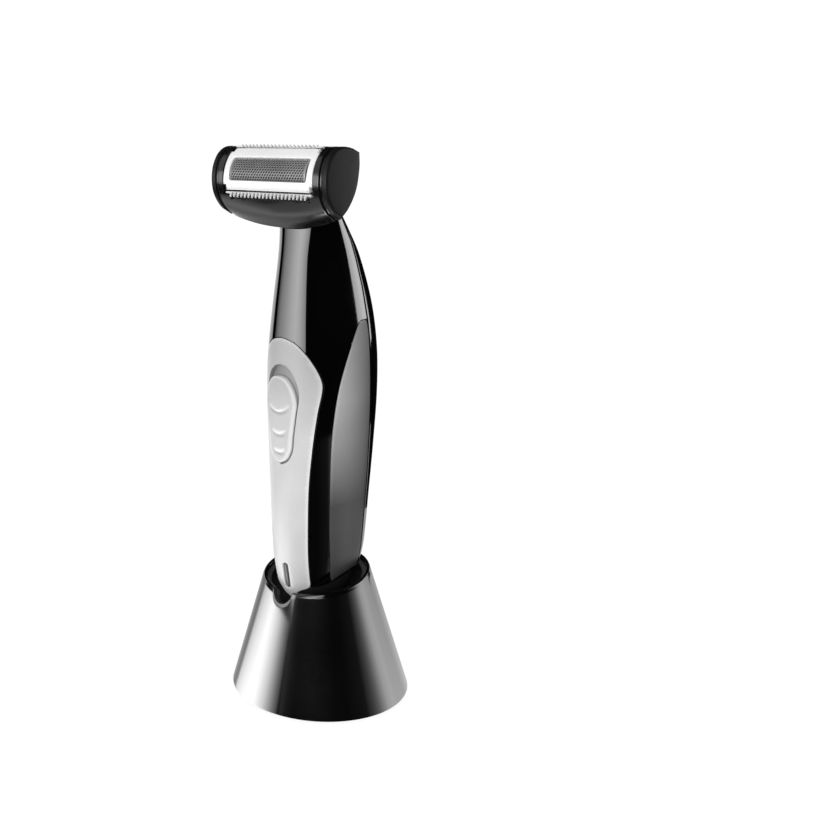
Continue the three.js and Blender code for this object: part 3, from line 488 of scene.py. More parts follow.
# The look of each material slot, and of two pieces that have their own.
LOOK = {
    "gloss_black": surface_material(
        "piano_black", (0.0008, 0.0008, 0.0009), (0.0014, 0.0014, 0.0015), (0.05, 0.08),
        specular=0.55, grain=700, grain_strength=0.02),
    "stand_black": surface_material(
        "stand_black", (0.001, 0.001, 0.0011), (0.0018, 0.0018, 0.0019), (0.09, 0.12),
        specular=0.6, grain=700, grain_strength=0.03),
    "head_black": surface_material(
        "head_black", (0.004, 0.004, 0.0043), (0.006, 0.006, 0.0065), (0.14, 0.19),
        specular=0.5, grain=1500, grain_strength=0.05),
    "cap_black": surface_material(
        "cap_black", (0.006, 0.006, 0.0064), (0.008, 0.008, 0.0084), (0.36, 0.42),
        specular=0.15, grain=2600, grain_strength=0.12),
    "matte_black": surface_material(
        "matt_black", (0.009, 0.009, 0.0095), (0.014, 0.014, 0.015), (0.5, 0.6),
        specular=0.4, grain=1800, grain_strength=0.2),
    # Painted light on the silver: lighter below 100 mm height than above 130 mm and a little darker again below 70
    # mm, as the light falls; its points also carry painted highlights and painted shade.
    "satin_silver": surface_material(
        "satin_silver", (0.45, 0.45, 0.454), (0.49, 0.49, 0.494), (0.38, 0.44),
        metallic=0.02, specular=0.14, grain=5200, grain_strength=0.07, with_painted_light=True,
        painted_light_fades=[("Z", 100, 130, 1.36, 0.94), ("Z", 50, 70, 0.84, 1.0)]),
    # Painted shade on the inlay: darker towards the rear and much darker towards the bottom, a painted reflection
    # that is bright at the top front; its points also carry a painted highlight along the edge.
    "inlay_grey": surface_material(
        "inlay_grey", (0.42, 0.42, 0.425), (0.46, 0.46, 0.465), (0.34, 0.4),
        metallic=0.02, specular=0.06, grain=5200, grain_strength=0.07, with_painted_light=True,
        painted_light_fades=[("Y", -6, 14, 1.0, 0.16), ("Z", 74, 112, 0.14, 1.0), ("Z", 36, 66, 0.4, 1.0)]),
    "frame_silver": surface_material(
        "frame_silver", (0.9, 0.9, 0.905), (0.94, 0.94, 0.945), (0.24, 0.3),
        metallic=0.1, specular=0.4, grain=3000, grain_strength=0.04),
    "foil_steel": surface_material(
        "foil_steel", (0.2, 0.2, 0.203), (0.27, 0.27, 0.273), (0.34, 0.42),
        metallic=0.2, specular=0.2, grain=2500, grain_strength=0.06),
    "blade_steel": surface_material(
        "blade_steel", (0.72, 0.72, 0.73), (0.82, 0.82, 0.83), (0.25, 0.33),
        metallic=0.4, grain=1600, grain_strength=0.1, stretch=(1, 14, 1)),
    "cutter": surface_material(
        "cutter_steel", (0.004, 0.004, 0.0045), (0.012, 0.012, 0.0125), (0.4, 0.5),
        metallic=0.2, stretch=(14, 1, 1)),
    "cup": surface_material(
        "cup_black", (0.05, 0.05, 0.051), (0.06, 0.06, 0.061), (0.42, 0.5),
        specular=0.4, grain=1800, grain_strength=0.15),
    "window": surface_material(
        "window_smoke", (0.055, 0.056, 0.058), (0.075, 0.076, 0.078), (0.35, 0.4),
        specular=0.1, grain=600, grain_strength=0.02),
    "rubber": surface_material(
        "rubber_black", (0.012, 0.012, 0.012), (0.02, 0.02, 0.02), (0.75, 0.9),
        grain=1400, grain_strength=0.3),
    "board": surface_material(
        "board_green", (0.02, 0.12, 0.05), (0.03, 0.16, 0.07), (0.4, 0.5)),
    "cell": surface_material(
        "cell_sleeve", (0.05, 0.12, 0.3), (0.07, 0.15, 0.36), (0.3, 0.4)),
    "motor_steel": surface_material(
        "motor_steel", (0.42, 0.42, 0.43), (0.5, 0.5, 0.51), (0.3, 0.4),
        metallic=1.0, stretch=(1, 1, 14)),
    "nylon": surface_material(
        "nylon_natural", (0.68, 0.66, 0.61), (0.74, 0.72, 0.67), (0.4, 0.5)),
    "ballast": surface_material(
        "ballast_iron", (0.16, 0.16, 0.17), (0.24, 0.24, 0.25), (0.5, 0.65),
        metallic=1.0),
    "brass": surface_material(
        "contact_brass", (0.66, 0.46, 0.16), (0.74, 0.54, 0.22), (0.25, 0.35),
        metallic=1.0),
}
for part in frame["record"]["subparts"]:
    cad_mesh = frame["nodes"][part["node"]].data
    cad_mesh.materials.clear()
    cad_mesh.materials.append(LOOK["cutter" if part["node"] == "cutter_block" else part["material_slot"]])


def finish_piece(build, name, slot, body, *nodes, look=None, sharp=40):
    """Makes the piece, with its material slot, the body it rides and the CAD nodes it replaces."""
    piece = build.object(name, LOOK[look or slot], math.radians(sharp))
    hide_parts(*nodes)
    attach(piece, body)
    return piece


# ---------------------------------------------------------------- stand


def cone_point(angle, fraction, inset=0.0, drop=0.0):
    s = STAND
    cos, sin = np.cos(angle), np.sin(angle)
    x = (s["base_x"] + (s["rim_x"] - s["base_x"]) * fraction - inset) * cos
    y = (s["base_y"] + (s["rim_y"] - s["base_y"]) * fraction - inset) * sin + s["shift"] * fraction
    top = s["height"] + s["slope"] * (s["rim_y"] * sin + s["shift"])
    return joined(x, y, top * fraction - drop)


def notch_height(x, y):
    """Height to which the wall may rise at a place, for the notch at the front."""
    s = STAND
    dip = s["notch_mid"] - np.sqrt(np.clip(s["notch"] ** 2 - x**2, 0, None))
    return np.where((np.abs(x) < s["notch"]) & (y < 0), dip, 999.0)


def wall_limits(angles, inset):
    """The fraction at which the wall ends at each angle."""
    fraction = np.ones(len(angles))
    for _ in range(30):
        p = cone_point(angles, fraction, inset)
        top = cone_point(angles, np.ones(len(angles)), inset)
        fraction = np.minimum(1, notch_height(p[:, 0], p[:, 1]) / top[:, 2])
    return fraction


def ring_angles():
    """Angles round the stand, closer together at the notch and at the narrow ends."""
    whole = np.linspace(0, 2 * math.pi, 200, endpoint=False)
    notch = np.linspace(-0.27, 0.27, 61) - math.pi / 2 + 2 * math.pi
    return np.sort(np.concatenate([whole[np.abs(whole - 1.5 * math.pi) > 0.28], notch]))


def build_stand():
    angles = ring_angles()
    wall, lip = STAND["wall"], 0.45
    low = STAND["bottom"] / STAND["height"]
    limit, limit_in = wall_limits(angles, 0), wall_limits(angles, wall)
    rows = [cone_point(angles, np.full(len(angles), low + extra), inset)
            for inset, extra in ((0.55, 0.0), (0.2, 0.0016), (0.05, 0.005), (0, 0.011))]
    rows += [cone_point(angles, low + (limit - low) * t) for t in np.linspace(0.02, 1, 46)[:-1]]
    quarter = np.linspace(0, math.pi / 2, 5)
    for turn in quarter:
        rows.append(cone_point(angles, limit, lip * (1 - math.cos(turn)), lip * (1 - math.sin(turn))))
    for turn in quarter[::-1]:
        rows.append(cone_point(angles, limit_in, wall - lip * (1 - math.cos(turn)), lip * (1 - math.sin(turn))))
    rows += [cone_point(angles, low + (limit_in - low) * t, wall) for t in (0.95, 0.85, 0.6, 0.3, 0.0)]
    build = Builder()
    build.grid(np.array(rows), close_rows=True, close_cols=True)
    finish_piece(build, "stand_cone", "stand_black", "stand", "stand_shell")

    def cup_ring(z, extra):
        return joined((10.2 + extra) * np.cos(angles), -1.2 + (9.4 + extra) * np.sin(angles), z)

    # The cup: up its outside, over the rim and down its inside to a floor.
    outer, thick = wall + GAP, 1.2
    limit, limit_in = wall_limits(angles, outer), wall_limits(angles, outer + thick)
    half_way = np.minimum(0.88, limit_in - 0.03)
    outer_mid, inner_mid = cone_point(angles, half_way, outer), cone_point(angles, half_way, outer + thick)
    low_out, low_in = cup_ring(26, 2.6), cup_ring(27, 1.2)
    top_out = cone_point(angles, limit, wall + 0.04, 1.3)
    top_in = cone_point(angles, limit_in, outer + thick, 2.2)
    rows = [cup_ring(17, 1.4)]
    rows += [low_out + (outer_mid - low_out) * t for t in np.linspace(0, 1, 10)]
    rows += [top_out - (top_out - outer_mid) * 0.1, top_out]
    rows += [top_out + (top_in - top_out) * t + [0, 0, 0.1] for t in (0.15, 0.85)]
    rows += [top_in, top_in - (top_in - inner_mid) * 0.1]
    for t in np.linspace(1, 0, 14):
        ease = t * t * (3 - 2 * t) * 0.35 + t * 0.65
        rows.append(low_in + (inner_mid - low_in) * [ease, ease, t])
    rows += [cup_ring(20.0, 0.1), cup_ring(19.4, -0.5)]
    build = Builder()
    build.tube(rows)
    finish_piece(build, "stand_cup", "matte_black", "stand", "stand_socket", look="cup")


# ---------------------------------------------------------------- body shells


def angle_at(y, z):
    """The angle on the right rear quarter where the body's surface reaches a depth y."""
    _, _, rear, mid = section(z)
    share = np.clip((y - mid) / (rear - mid), 0, 1)
    return np.arcsin(share ** (REAR_POWER / 2))


def parting_angle(z, shift):
    line = np.array(PARTING, float)
    y = np.interp(z, line[:, 1], line[:, 0]) + shift
    return angle_at(y, z)


def edge_steps(total, count, near=(0, 0.06, 0.16, 0.3, 0.5)):
    """Places from 0 to total, closer together near both ends."""
    middle = np.linspace(near[-1], total - near[-1], count)[1:-1]
    return np.concatenate([near, middle, total - np.array(near[::-1])])


def shell_grid(rear, columns, rows):
    """Points on the body between the parting line and the two slanted edges, and their distances from the rim."""
    perimeter, height = (62.0, 127.0) if rear else (80.0, 127.0)
    u = edge_steps(perimeter, columns) / perimeter
    v = edge_steps(height, rows) / height
    U, V = np.meshgrid(u, v)
    z = lower_edge(0) + (upper_edge(0) - lower_edge(0)) * V
    for _ in range(25):
        at = parting_angle(z, GAP / 2 if rear else -GAP / 2)
        start, stop = (at, math.pi - at) if rear else (math.pi - at, 2 * math.pi + at)
        angle = start + (stop - start) * U
        y = body_point(angle, z)[..., 1]
        z = lower_edge(y) + (upper_edge(y) - lower_edge(y)) * V
    edge = np.minimum(np.minimum(U, 1 - U) * perimeter, np.minimum(V, 1 - V) * height)
    return body_point(angle, z), edge


def rolled(distance, radius=0.45):
    gap = np.clip(radius - distance, 0, radius)
    return radius - np.sqrt(radius**2 - gap**2)


def cut_pocket(points, depth, wanted, outline, axes, surface, deep, reach=0.23):
    """Sinks a skin by a depth inside an outline. Points close to the edge are first moved onto it, so that the
    edge is clean. wanted says which points the pocket may touch."""
    flat = points.reshape(-1, 3)
    depths = depth.reshape(-1)
    low, high = outline.min(0) - 1, outline.max(0) + 1
    near = np.flatnonzero(np.all((flat[:, axes] > low) & (flat[:, axes] < high), axis=1) & wanted.reshape(-1))
    plane = flat[near][:, axes]
    place, gap = nearest_on(plane, outline)
    on_edge = gap < reach
    sunk = inside(plane, outline) & ~on_edge
    depths[near[sunk]] = deep
    moved = near[on_edge]
    flat[moved] = surface(place[on_edge, 0], place[on_edge, 1], np.sign(flat[moved, 0]))
    depths[moved] = 0.0


def thick_skin(build, outer, normal, thickness):
    """A closed shell: the outer skin, an inner copy and the strip round the rim."""
    top = build.grid(outer)
    inner = outer - normal * thickness
    low = build.grid(inner, flip=True)
    rim_top = list(top[0, :]) + list(top[1:, -1]) + list(top[-1, -2::-1]) + list(top[-2:0:-1, 0])
    rim_low = list(low[0, :]) + list(low[1:, -1]) + list(low[-1, -2::-1]) + list(low[-2:0:-1, 0])
    for i in range(len(rim_top)):
        j = (i + 1) % len(rim_top)
        build.faces.append((rim_top[j], rim_top[i], rim_low[i], rim_low[j]))


def set_painted_light(piece, axes, painted_light):
    """Stores the painted light at each point of a piece: how much lighter it is by painted highlight or darker by
    painted shade.
    """
    points = np.empty(len(piece.data.vertices) * 3)
    piece.data.vertices.foreach_get("co", points)
    values = piece.data.attributes.new("painted_light", "FLOAT", "POINT")
    values.data.foreach_set("value", painted_light(points.reshape(-1, 3)[:, axes] / MM))


def painted_edge_highlight(points, outline, width, amount):
    """Painted highlight: extra lightness along an outline, where a rounded edge catches the light."""
    return amount * np.clip(1.25 - distance_to(points, outline) / width, 0, 1)


def build_shells():
    points, edge = shell_grid(False, 190, 300)
    normal = normals_of(points)
    depth = np.zeros(points.shape[:-1])
    cut_pocket(points, depth, points[..., 1] < 0, offset_outline(PANEL, -GAP), [0, 2],
               lambda x, z, side: front_point(x, z), 1.5)
    cut_pocket(points, depth, np.abs(points[..., 0]) > 2, offset_outline(INLAY, -GAP), [1, 2],
               side_point, 1.5)
    build = Builder()
    thick_skin(build, points - normal * (depth + rolled(edge))[..., None], normal, 1.2)
    finish_piece(build, "front_housing_skin", "gloss_black", "groomer", "front_housing")

    points, edge = shell_grid(True, 130, 250)
    normal = normals_of(points)
    build = Builder()
    thick_skin(build, points - normal * rolled(edge)[..., None], normal, 2.2)
    finish_piece(build, "rear_shell_skin", "gloss_black", "groomer", "rear_shell")


def build_panel():
    """The silver panel, with a tray for the switch and a slot for the charge lens."""
    lift = lift_along(front_point)
    tray_depth, lens_proud = 1.4, 0.15
    ease = [(0.0, tray_depth), (0.0, 0.5), (0.05, 0.22), (0.16, 0.08), (0.34, 0.0)]
    slot = [(0.0, 1.2), (0.0, 0.3), (0.05, 0.12), (0.2, 0.0)]
    build = Builder()
    patch(build, PANEL, lift, round_edge(0.32, 1.2), 0.8, holes=[(RECESS, ease), (WINDOW, slot)])
    patch(build, RECESS, lambda p, d: lift(p, d + tray_depth), [(0.0, 0.0)], 0.8)
    piece = finish_piece(build, "front_panel_skin", "satin_silver", "groomer", "front_panel")

    # Painted light on the panel: a painted highlight along its edge and round the tray's rim, and painted shade on
    # the tray floor, deeper towards the left.
    def painted_light(points):
        in_tray = inside(points, RECESS)
        tray_painted_shade = np.clip(0.36 - 0.03 * points[:, 0], 0.2, 0.5)
        return (painted_edge_highlight(points, PANEL, 0.42, 0.45) + painted_edge_highlight(points, RECESS, 0.3, 0.2) * ~in_tray
                - in_tray * tray_painted_shade)
    set_painted_light(piece, [0, 2], painted_light)

    build = Builder()
    patch(build, WINDOW * [0.86, 1.0], lift, [(0.0, 1.2), (0.0, 0.4), (0.12, 0.2), (0.4, lens_proud)], 0.4,
          shift=lambda points: np.full(len(points), -lens_proud))
    finish_piece(build, "charge_lens", "window", "groomer", "charge_window")


def build_inlays():
    for side, name in ((-1, "left"), (1, "right")):
        lift = lift_along(lambda y, z: side_point(y, z, side)) if side > 0 else lift_flipped(side)
        build = Builder()
        patch(build, INLAY, lift, round_edge(0.3, 1.2), 0.9, flip=side < 0)
        piece = finish_piece(build, f"side_inlay_skin_{name}", "inlay_grey", "groomer", f"side_inlay_{name}")
        # Painted highlight along the inlay's edge.
        set_painted_light(piece, [1, 2], lambda points: painted_edge_highlight(points, INLAY, 0.35, 0.5))


def lift_flipped(side):
    """The lift for the left side, where the outline is seen from the other side of the surface."""
    base = lift_along(lambda y, z: side_point(y, z, side))
    return lambda points, depth: base(points, -np.asarray(depth))


def build_foot():
    """The foot that plugs into the cup, with the inlet in its underside."""
    angles = np.linspace(0, 2 * math.pi, 96, endpoint=False)
    rows = []
    for t in np.linspace(0, 1, 40):
        z = np.full(len(angles), FOOT_Z + 26 * t)
        for _ in range(12):
            y = body_point(angles, z, FOOT_INSET)[:, 1]
            z = FOOT_Z + (lower_edge(y) - GAP - FOOT_Z) * t
        rows.append(body_point(angles, z, FOOT_INSET))
    middle = rows[0].mean(0)
    sole = middle + (rows[0] - middle) * 0.9
    rows[0] = rows[0] + [0, 0, 0.35]

    def inlet(z):
        return joined(3.5 * np.cos(angles), -1 + 3.5 * np.sin(angles), z)

    mouth = inlet(20.0)
    build = Builder()
    build.tube([inlet(31.0), inlet(20.3), mouth + (sole - mouth) * 0.06, sole] + rows)
    finish_piece(build, "groomer_plug", "matte_black", "groomer", "groomer_foot")


SWITCH_PROUD = 0.9
# Curved ridges on the switch: height, half width and how proud.
RIDGES = [(109.4, 4.9, 0.62), (101.4, 3.4, 0.5), (94.9, 2.7, 0.46)]


def build_switch():
    """The slider: a raised border, a finger dish under its top and three curved ridges."""
    def crown(points):
        x, z = points[:, 0], points[:, 1]
        d = distance_to(points, SWITCH) * inside(points, SWITCH)
        border = np.clip(1 - d / 2.2, 0, 1)
        dish = (x / 4.6) ** 2 + ((z - 114.6) / 5.2) ** 2
        rise = SWITCH_PROUD - 0.28 * (1 - border) ** 2 - 0.42 * np.clip(1 - dish, 0, 1) ** 0.8
        for height, half, proud in RIDGES:
            line = height + 0.075 * x**2
            across = np.clip(1 - (np.abs(x) / half) ** 4, 0, 1)
            rise += proud * across * np.exp(-((z - line) / 0.42) ** 2)
            rise -= 0.1 * across * np.exp(-((z - line + 1.3) / 0.7) ** 2)
        return rise

    build = Builder()
    rim = [(0.0, 1.1 + SWITCH_PROUD), (0.0, 0.9), (0.05, 0.42), (0.22, 0.16), (0.5, 0.03), (0.8, 0.0)]
    patch(build, SWITCH, lift_along(front_point), rim, 0.42, shift=crown)
    piece = finish_piece(build, "switch_knob", "satin_silver", "switch", "switch_slider", sharp=60)

    # Painted light on the knob: a painted highlight along its edge and on each ridge, and painted shade just below
    # each ridge.
    def painted_light(points):
        x, z = points[:, 0], points[:, 1]
        result = painted_edge_highlight(points, SWITCH, 0.9, 0.3)
        for height, half, _ in RIDGES:
            across = np.clip(1 - (np.abs(x) / half) ** 4, 0, 1)
            away = z - height - 0.075 * x**2
            result += across * (0.6 * np.exp(-(away / 0.45) ** 2) - 0.3 * np.exp(-((away + 1.2) / 0.6) ** 2))
        return result
    set_painted_light(piece, [0, 2], painted_light)


# ---------------------------------------------------------------- head


def head_line(x):
    """Parts of the head's outline in (y, z): keel to face, face, face to top, rear."""
    out = min(abs(x) / 27.6, 1)
    mix = lambda middle, end: middle + (end - middle) * out**1.5
    keel = (mix(-10.8, -12.5), 171.2 + 4.4 * out**2.2)
    front = smooth_line([keel, (mix(-16.2, -15.9), mix(175.6, 177.7)), (-18.7, 181.9), (-19.4, 186.6), (-18.5, 191.6),
                         (-15.9, 195.8), (-12.3, 197.8), (-7.2, 197.6), (-3.4, 196.2)], 300)
    rear = smooth_line([(-3.4, 196.2), (-3.4, 191.5), (-5.2, 184.2), (mix(-7.4, -8.9), mix(176.6, 178.6)), keel], 120)
    return front, rear


def face_coords(line):
    c, s = math.cos(FACE_TILT), math.sin(FACE_TILT)
    y, z = line[:, 0] - FACE_Y, line[:, 1] - FACE_Z
    return joined(y * c + z * s, -y * s + z * c)


def head_section(x, inset=0.0):
    """The closed outline at x, with fixed shares before, on and after the face pocket."""
    front, rear = head_line(x)
    local = face_coords(front)
    low = int(np.argmax(local[:, 0] > -POCKET_REACH))
    high = len(local) - int(np.argmax(local[::-1, 0] < POCKET_REACH))
    top = int(np.argmax(front[:, 1]))
    high = min(high, top)
    corner = len(front) - 1
    parts = [resampled(front[:low + 1], 26)[:-1], resampled(front[low:high + 1], 46)[:-1],
             resampled(front[high:corner + 1], 26)[:-1], resampled(rear, 40)[:-1]]
    line = np.vstack(parts)
    if inset:
        line = offset_outline(line, inset)
    return line, (25, 25 + 45)


def bar_ring(x):
    """The head bar's outline at x, with the pocket for the cassette cut out of its face."""
    line, (low, high) = head_section(x, rolled(np.array(BAR_HALF - abs(x)), 0.3))
    ring = joined(x, *line.T)
    before, face, after = ring[:low + 1], ring[low:high + 1], ring[high:]
    if abs(x) < POCKET_HALF - 0.01:
        face = in_face(joined(x, face_coords(face[:, 1:])[:, 0], POCKET_FLOOR))
        if abs(x) < COMB_ROOM_HALF:
            y, z = face_coords(before[:, 1:]).T
            sunk = (y > COMB_ROOM_LOW) & (z > COMB_ROOM_FLOOR)
            if sunk.any():
                first = np.flatnonzero(sunk)[0]
                share = (COMB_ROOM_LOW - y[first - 1]) / (y[first] - y[first - 1])
                before[first - 1] += (before[first] - before[first - 1]) * share
                y[first] = COMB_ROOM_LOW
            before[sunk] = in_face(joined(x, y[sunk], COMB_ROOM_FLOOR))
    return np.vstack([before, face, after])


def build_head_cover():
    """The bar across, and the hump behind it that carries on the body's surface and ends in a plug."""
    across = np.concatenate([np.linspace(0, POCKET_HALF - 0.5, 34), POCKET_HALF + np.array([-0.02, 0, 0.12]),
                             np.linspace(POCKET_HALF + 0.4, 23.4, 5), [23.6, 23.78, 23.88, BAR_HALF]])
    build = Builder()
    build.tube([bar_ring(x) for x in np.concatenate([-across[:0:-1], across])], flip=True)

    angles = np.linspace(0, 2 * math.pi, 120, endpoint=False)
    skin = []
    for t in np.linspace(1, 0, 44):
        z = np.full(len(angles), 180.0)
        for _ in range(20):
            edge = upper_edge(body_point(angles, z)[:, 1]) + GAP
            z = edge + (TOP_Z - edge) * t
        skin.append(body_point(angles, z))
    last = skin.pop()
    skin += [body_point(angles, last[:, 2] + lift_by, inset)
             for lift_by, inset in ((0.35, 0.0), (0.12, 0.06), (0.02, 0.22))]
    # the plug, in the neck's frame: half width, half depth, height, middle
    for half_x, half_y, height, middle in (
            (8.6, 6.6, 0.3, 0.0), (8.1, 6.1, 0.1, 0.0), (8.1, 6.1, -3.7, 0.0), (7.8, 5.8, -4.0, 0.0),
            (6.4, 4.7, -4.0, -0.4), (6.3, 4.6, -3.8, -0.4), (6.3, 4.6, 5.0, -0.4)):
        skin.append(in_neck(joined(half_x * np.cos(angles), middle + half_y * np.sin(angles), height)))
    build.tube(skin, flip=True)
    finish_piece(build, "head_cover", "head_black", "head", "head_shell")


def build_head_ends():
    """At each end of the bar, a thin trim ring and a cap with a rolled edge and a slightly domed face."""
    def end_ring(side, x, inset, section_x):
        line, _ = head_section(side * section_x, inset)
        return joined(side * x, *line.T)

    ring_profile = [(0, 2.5), (0.25, 0.55), (0.29, 0.42), (0.39, 0.35), (0.81, 0.35), (0.91, 0.42), (0.95, 0.55),
                    (1.2, 2.5)]
    cap_profile = [(0, 0.4), (0.02, 0.2), (0.1, 0.06), (0.25, 0.0), (0.8, 0.0), (1.4, 0.0)]
    cap_profile += [(1.5 + 0.75 * math.sin(a), 0.75 * (1 - math.cos(a))) for a in np.linspace(0, math.pi / 2, 7)]
    for side, name in ((-1, "left"), (1, "right")):
        build = Builder()
        build.tube([end_ring(side, RING_AT + x, inset, RING_AT + x) for x, inset in ring_profile], flip=side > 0)
        finish_piece(build, f"head_ring_{name}", "head_black", "head", f"trim_ring_{name}")

        rings = [end_ring(side, CAP_AT + x, inset, min(CAP_AT + x, CAP_FLAT)) for x, inset in cap_profile]
        middle = rings[-1].mean(0)
        for t in (0.92, 0.8, 0.6, 0.35):
            ring = middle + (rings[len(cap_profile) - 1] - middle) * t
            ring[:, 0] = side * (CAP_FLAT + 0.15 * (1 - t**2))
            rings.append(ring)
        build = Builder()
        build.tube(rings, flip=side > 0)
        finish_piece(build, f"head_cap_{name}", "cap_black", "head", f"end_cap_{name}")


# ---------------------------------------------------------------- cassette


def rounded_box(x0, x1, y0, y1, radius, steps=5, spacing=0.8):
    corners = [(x1 - radius, y1 - radius, 0), (x0 + radius, y1 - radius, 1), (x0 + radius, y0 + radius, 2),
               (x1 - radius, y0 + radius, 3)]
    points = []
    for cx, cy, quarter in corners:
        for k in range(steps + 1):
            a = (quarter + k / steps) * math.pi / 2
            points.append((cx + radius * math.cos(a), cy + radius * math.sin(a)))
    points = np.array(points)
    result = []
    for a, b in zip(points, np.roll(points, -1, 0)):
        count = max(1, int(np.linalg.norm(b - a) / spacing))
        result.extend(a + (b - a) * k / count for k in range(count))
    return np.array(result)


def arc_surface(radius):
    """The foil frame's outer curve: a is x, b is the distance up the face."""
    def surface(a, b):
        z = np.sqrt(np.maximum(radius**2 - b**2, 0))
        return in_face(joined(a, b, z))
    return surface


def build_frame():
    """The foil's frame: a curved plate with stepped corners and a window."""
    x, y, notch_x, notch_y = 21.0, 7.4, 1.3, 1.6
    outline = np.array([
        (x, -y + notch_y), (x, y - notch_y), (x - notch_x, y - notch_y), (x - notch_x, y), (-x + notch_x, y),
        (-x + notch_x, y - notch_y), (-x, y - notch_y), (-x, -y + notch_y), (-x + notch_x, -y + notch_y),
        (-x + notch_x, -y), (x - notch_x, -y), (x - notch_x, -y + notch_y)])
    dense = []
    for a, b in zip(outline, np.roll(outline, -1, 0)):
        length = np.linalg.norm(b - a)
        places = np.linspace(0, 1, max(2, int(length / 0.7)) + 1)[:-1]
        places[0] = 0.12 / length
        dense.append(a + (b - a) * (0.04 / length))
        dense.extend(a + (b - a) * t for t in places)
        dense.append(b - (b - a) * (0.12 / length))
    window = rounded_box(-18.3, 18.3, -4.45, 3.6, 0.9)
    edge = [(0.0, 1.6), (0.0, 0.35), (0.03, 0.12), (0.12, 0.03), (0.25, 0.0)]
    window_edge = [(0.0, 1.6), (0.0, 0.35), (0.05, 0.15), (0.2, 0.02), (0.35, 0.0)]
    build = Builder()
    patch(build, np.array(dense), lift_along(arc_surface(14.7)), edge, 0.7, holes=[(window, window_edge)])
    finish_piece(build, "foil_frame_plate", "frame_silver", "cassette", "foil_frame")


def build_foil():
    """The foil: an arch of sheet steel pierced all over by slanted slots in staggered rows."""
    middle, half, radius, crest, foot = -0.425, 3.725, 6.6, 14.85, 11.0
    angle = math.asin(half / radius)
    side_top = crest - radius + radius * math.cos(angle)
    arc = 2 * angle * radius
    skirt = side_top - foot

    def place(u, v, depth):
        """u across the object, v along the arch from its lower edge."""
        v = np.asarray(v, float)
        a = np.clip((v - skirt) / radius, 0, 2 * angle) - angle
        r = radius - depth
        y = middle + r * np.sin(a)
        z = crest - radius + r * np.cos(a)
        below = np.clip(skirt - v, 0, None) + np.clip(v - skirt - arc, 0, None)
        y = np.where(v < skirt, middle - half + depth, np.where(v > skirt + arc, middle + half - depth, y))
        z = np.where(below > 0, side_top - below, z)
        return in_face(joined(u, y, z))

    end, border = 17.9, 0.7
    slots, pitch_v, count_u = 10, 0.84, 28
    pitch_u = 2 * (end - border) / count_u
    v0 = skirt + (arc - slots * pitch_v) / 2
    build = Builder()
    # Square cells in a brick pattern tile the sheet, each with a slanted slot in it.
    around = [(1, 0), (1, 1), (0, 1), (-1, 1), (-1, 0), (-1, -1), (0, -1), (1, -1)]
    for row in range(slots):
        shifted = row % 2
        cells = [(-end + border + (col + 0.5 + 0.5 * shifted) * pitch_u, 1.0) for col in range(count_u - shifted)]
        if shifted:
            cells += [(side * (end - border - 0.25 * pitch_u), 0.5) for side in (-1, 1)]
        cv = v0 + (row + 0.5) * pitch_v
        for cu, wide in cells:
            outer = [(cu + a * pitch_u * wide / 2, cv + b * pitch_v / 2) for a, b in around]
            hole = []
            for turn in np.arange(8) * math.pi / 4:
                hv = 0.44 * pitch_v * math.sin(turn)
                hole.append((cu + 0.36 * pitch_u * wide * math.cos(turn) + 0.5 * wide * hv, cv + hv))
            rings = np.array([place([p[0] for p in ring], [p[1] for p in ring], depth)
                              for ring, depth in ((outer, 0.0), (hole, 0.0), (hole, 0.2))])
            build.grid(rings, close_cols=True)
    whole = 2 * skirt + arc
    for v_from, v_to in ((0.0, v0), (v0 + slots * pitch_v, whole)):
        us = np.linspace(-end + border, end - border, 2 * count_u + 1)
        build.grid(np.array([place(us, np.full(len(us), v), 0.0) for v in np.linspace(v_from, v_to, 7)]), flip=True)
    for side in (-1, 1):
        vs = np.linspace(0, whole, 40)
        strips = [(end - border, 0.0), (end - 0.1, 0.0), (end, 0.06), (end, 0.35)]
        rows = [place(np.full(len(vs), side * u), vs, depth) for u, depth in strips]
        build.grid(np.array(rows), flip=side < 0)
    finish_piece(build, "foil_mesh", "foil_steel", "cassette", "foil", sharp=50)


# Trimmer combs: the plate's root and the teeth's tip up the face, and the plate's two heights.
COMBS = {"upper": (7.7, 8.8, 12.0, 12.6), "lower": (-7.7, -9.6, 11.5, 12.1)}
TEETH, COMB_HALF, COMB_BEVEL = 21, 18.6, 0.08


def comb_outline(root, tip):
    """A straight back with tapered teeth."""
    pitch = 2 * COMB_HALF / TEETH
    base, shoulder = root + (tip - root) * 0.16, tip - (tip - root) * 0.12
    wide, narrow = 0.26 * pitch, 0.15 * pitch
    outline = [(-COMB_HALF, root), (-COMB_HALF, base)]
    for middle in -COMB_HALF + pitch * (np.arange(TEETH) + 0.5):
        outline += [(middle - wide, base), (middle - narrow, shoulder), (middle - narrow * 0.55, tip),
                    (middle + narrow * 0.55, tip), (middle + narrow, shoulder), (middle + wide, base)]
    return np.array(outline + [(COMB_HALF, base), (COMB_HALF, root)])


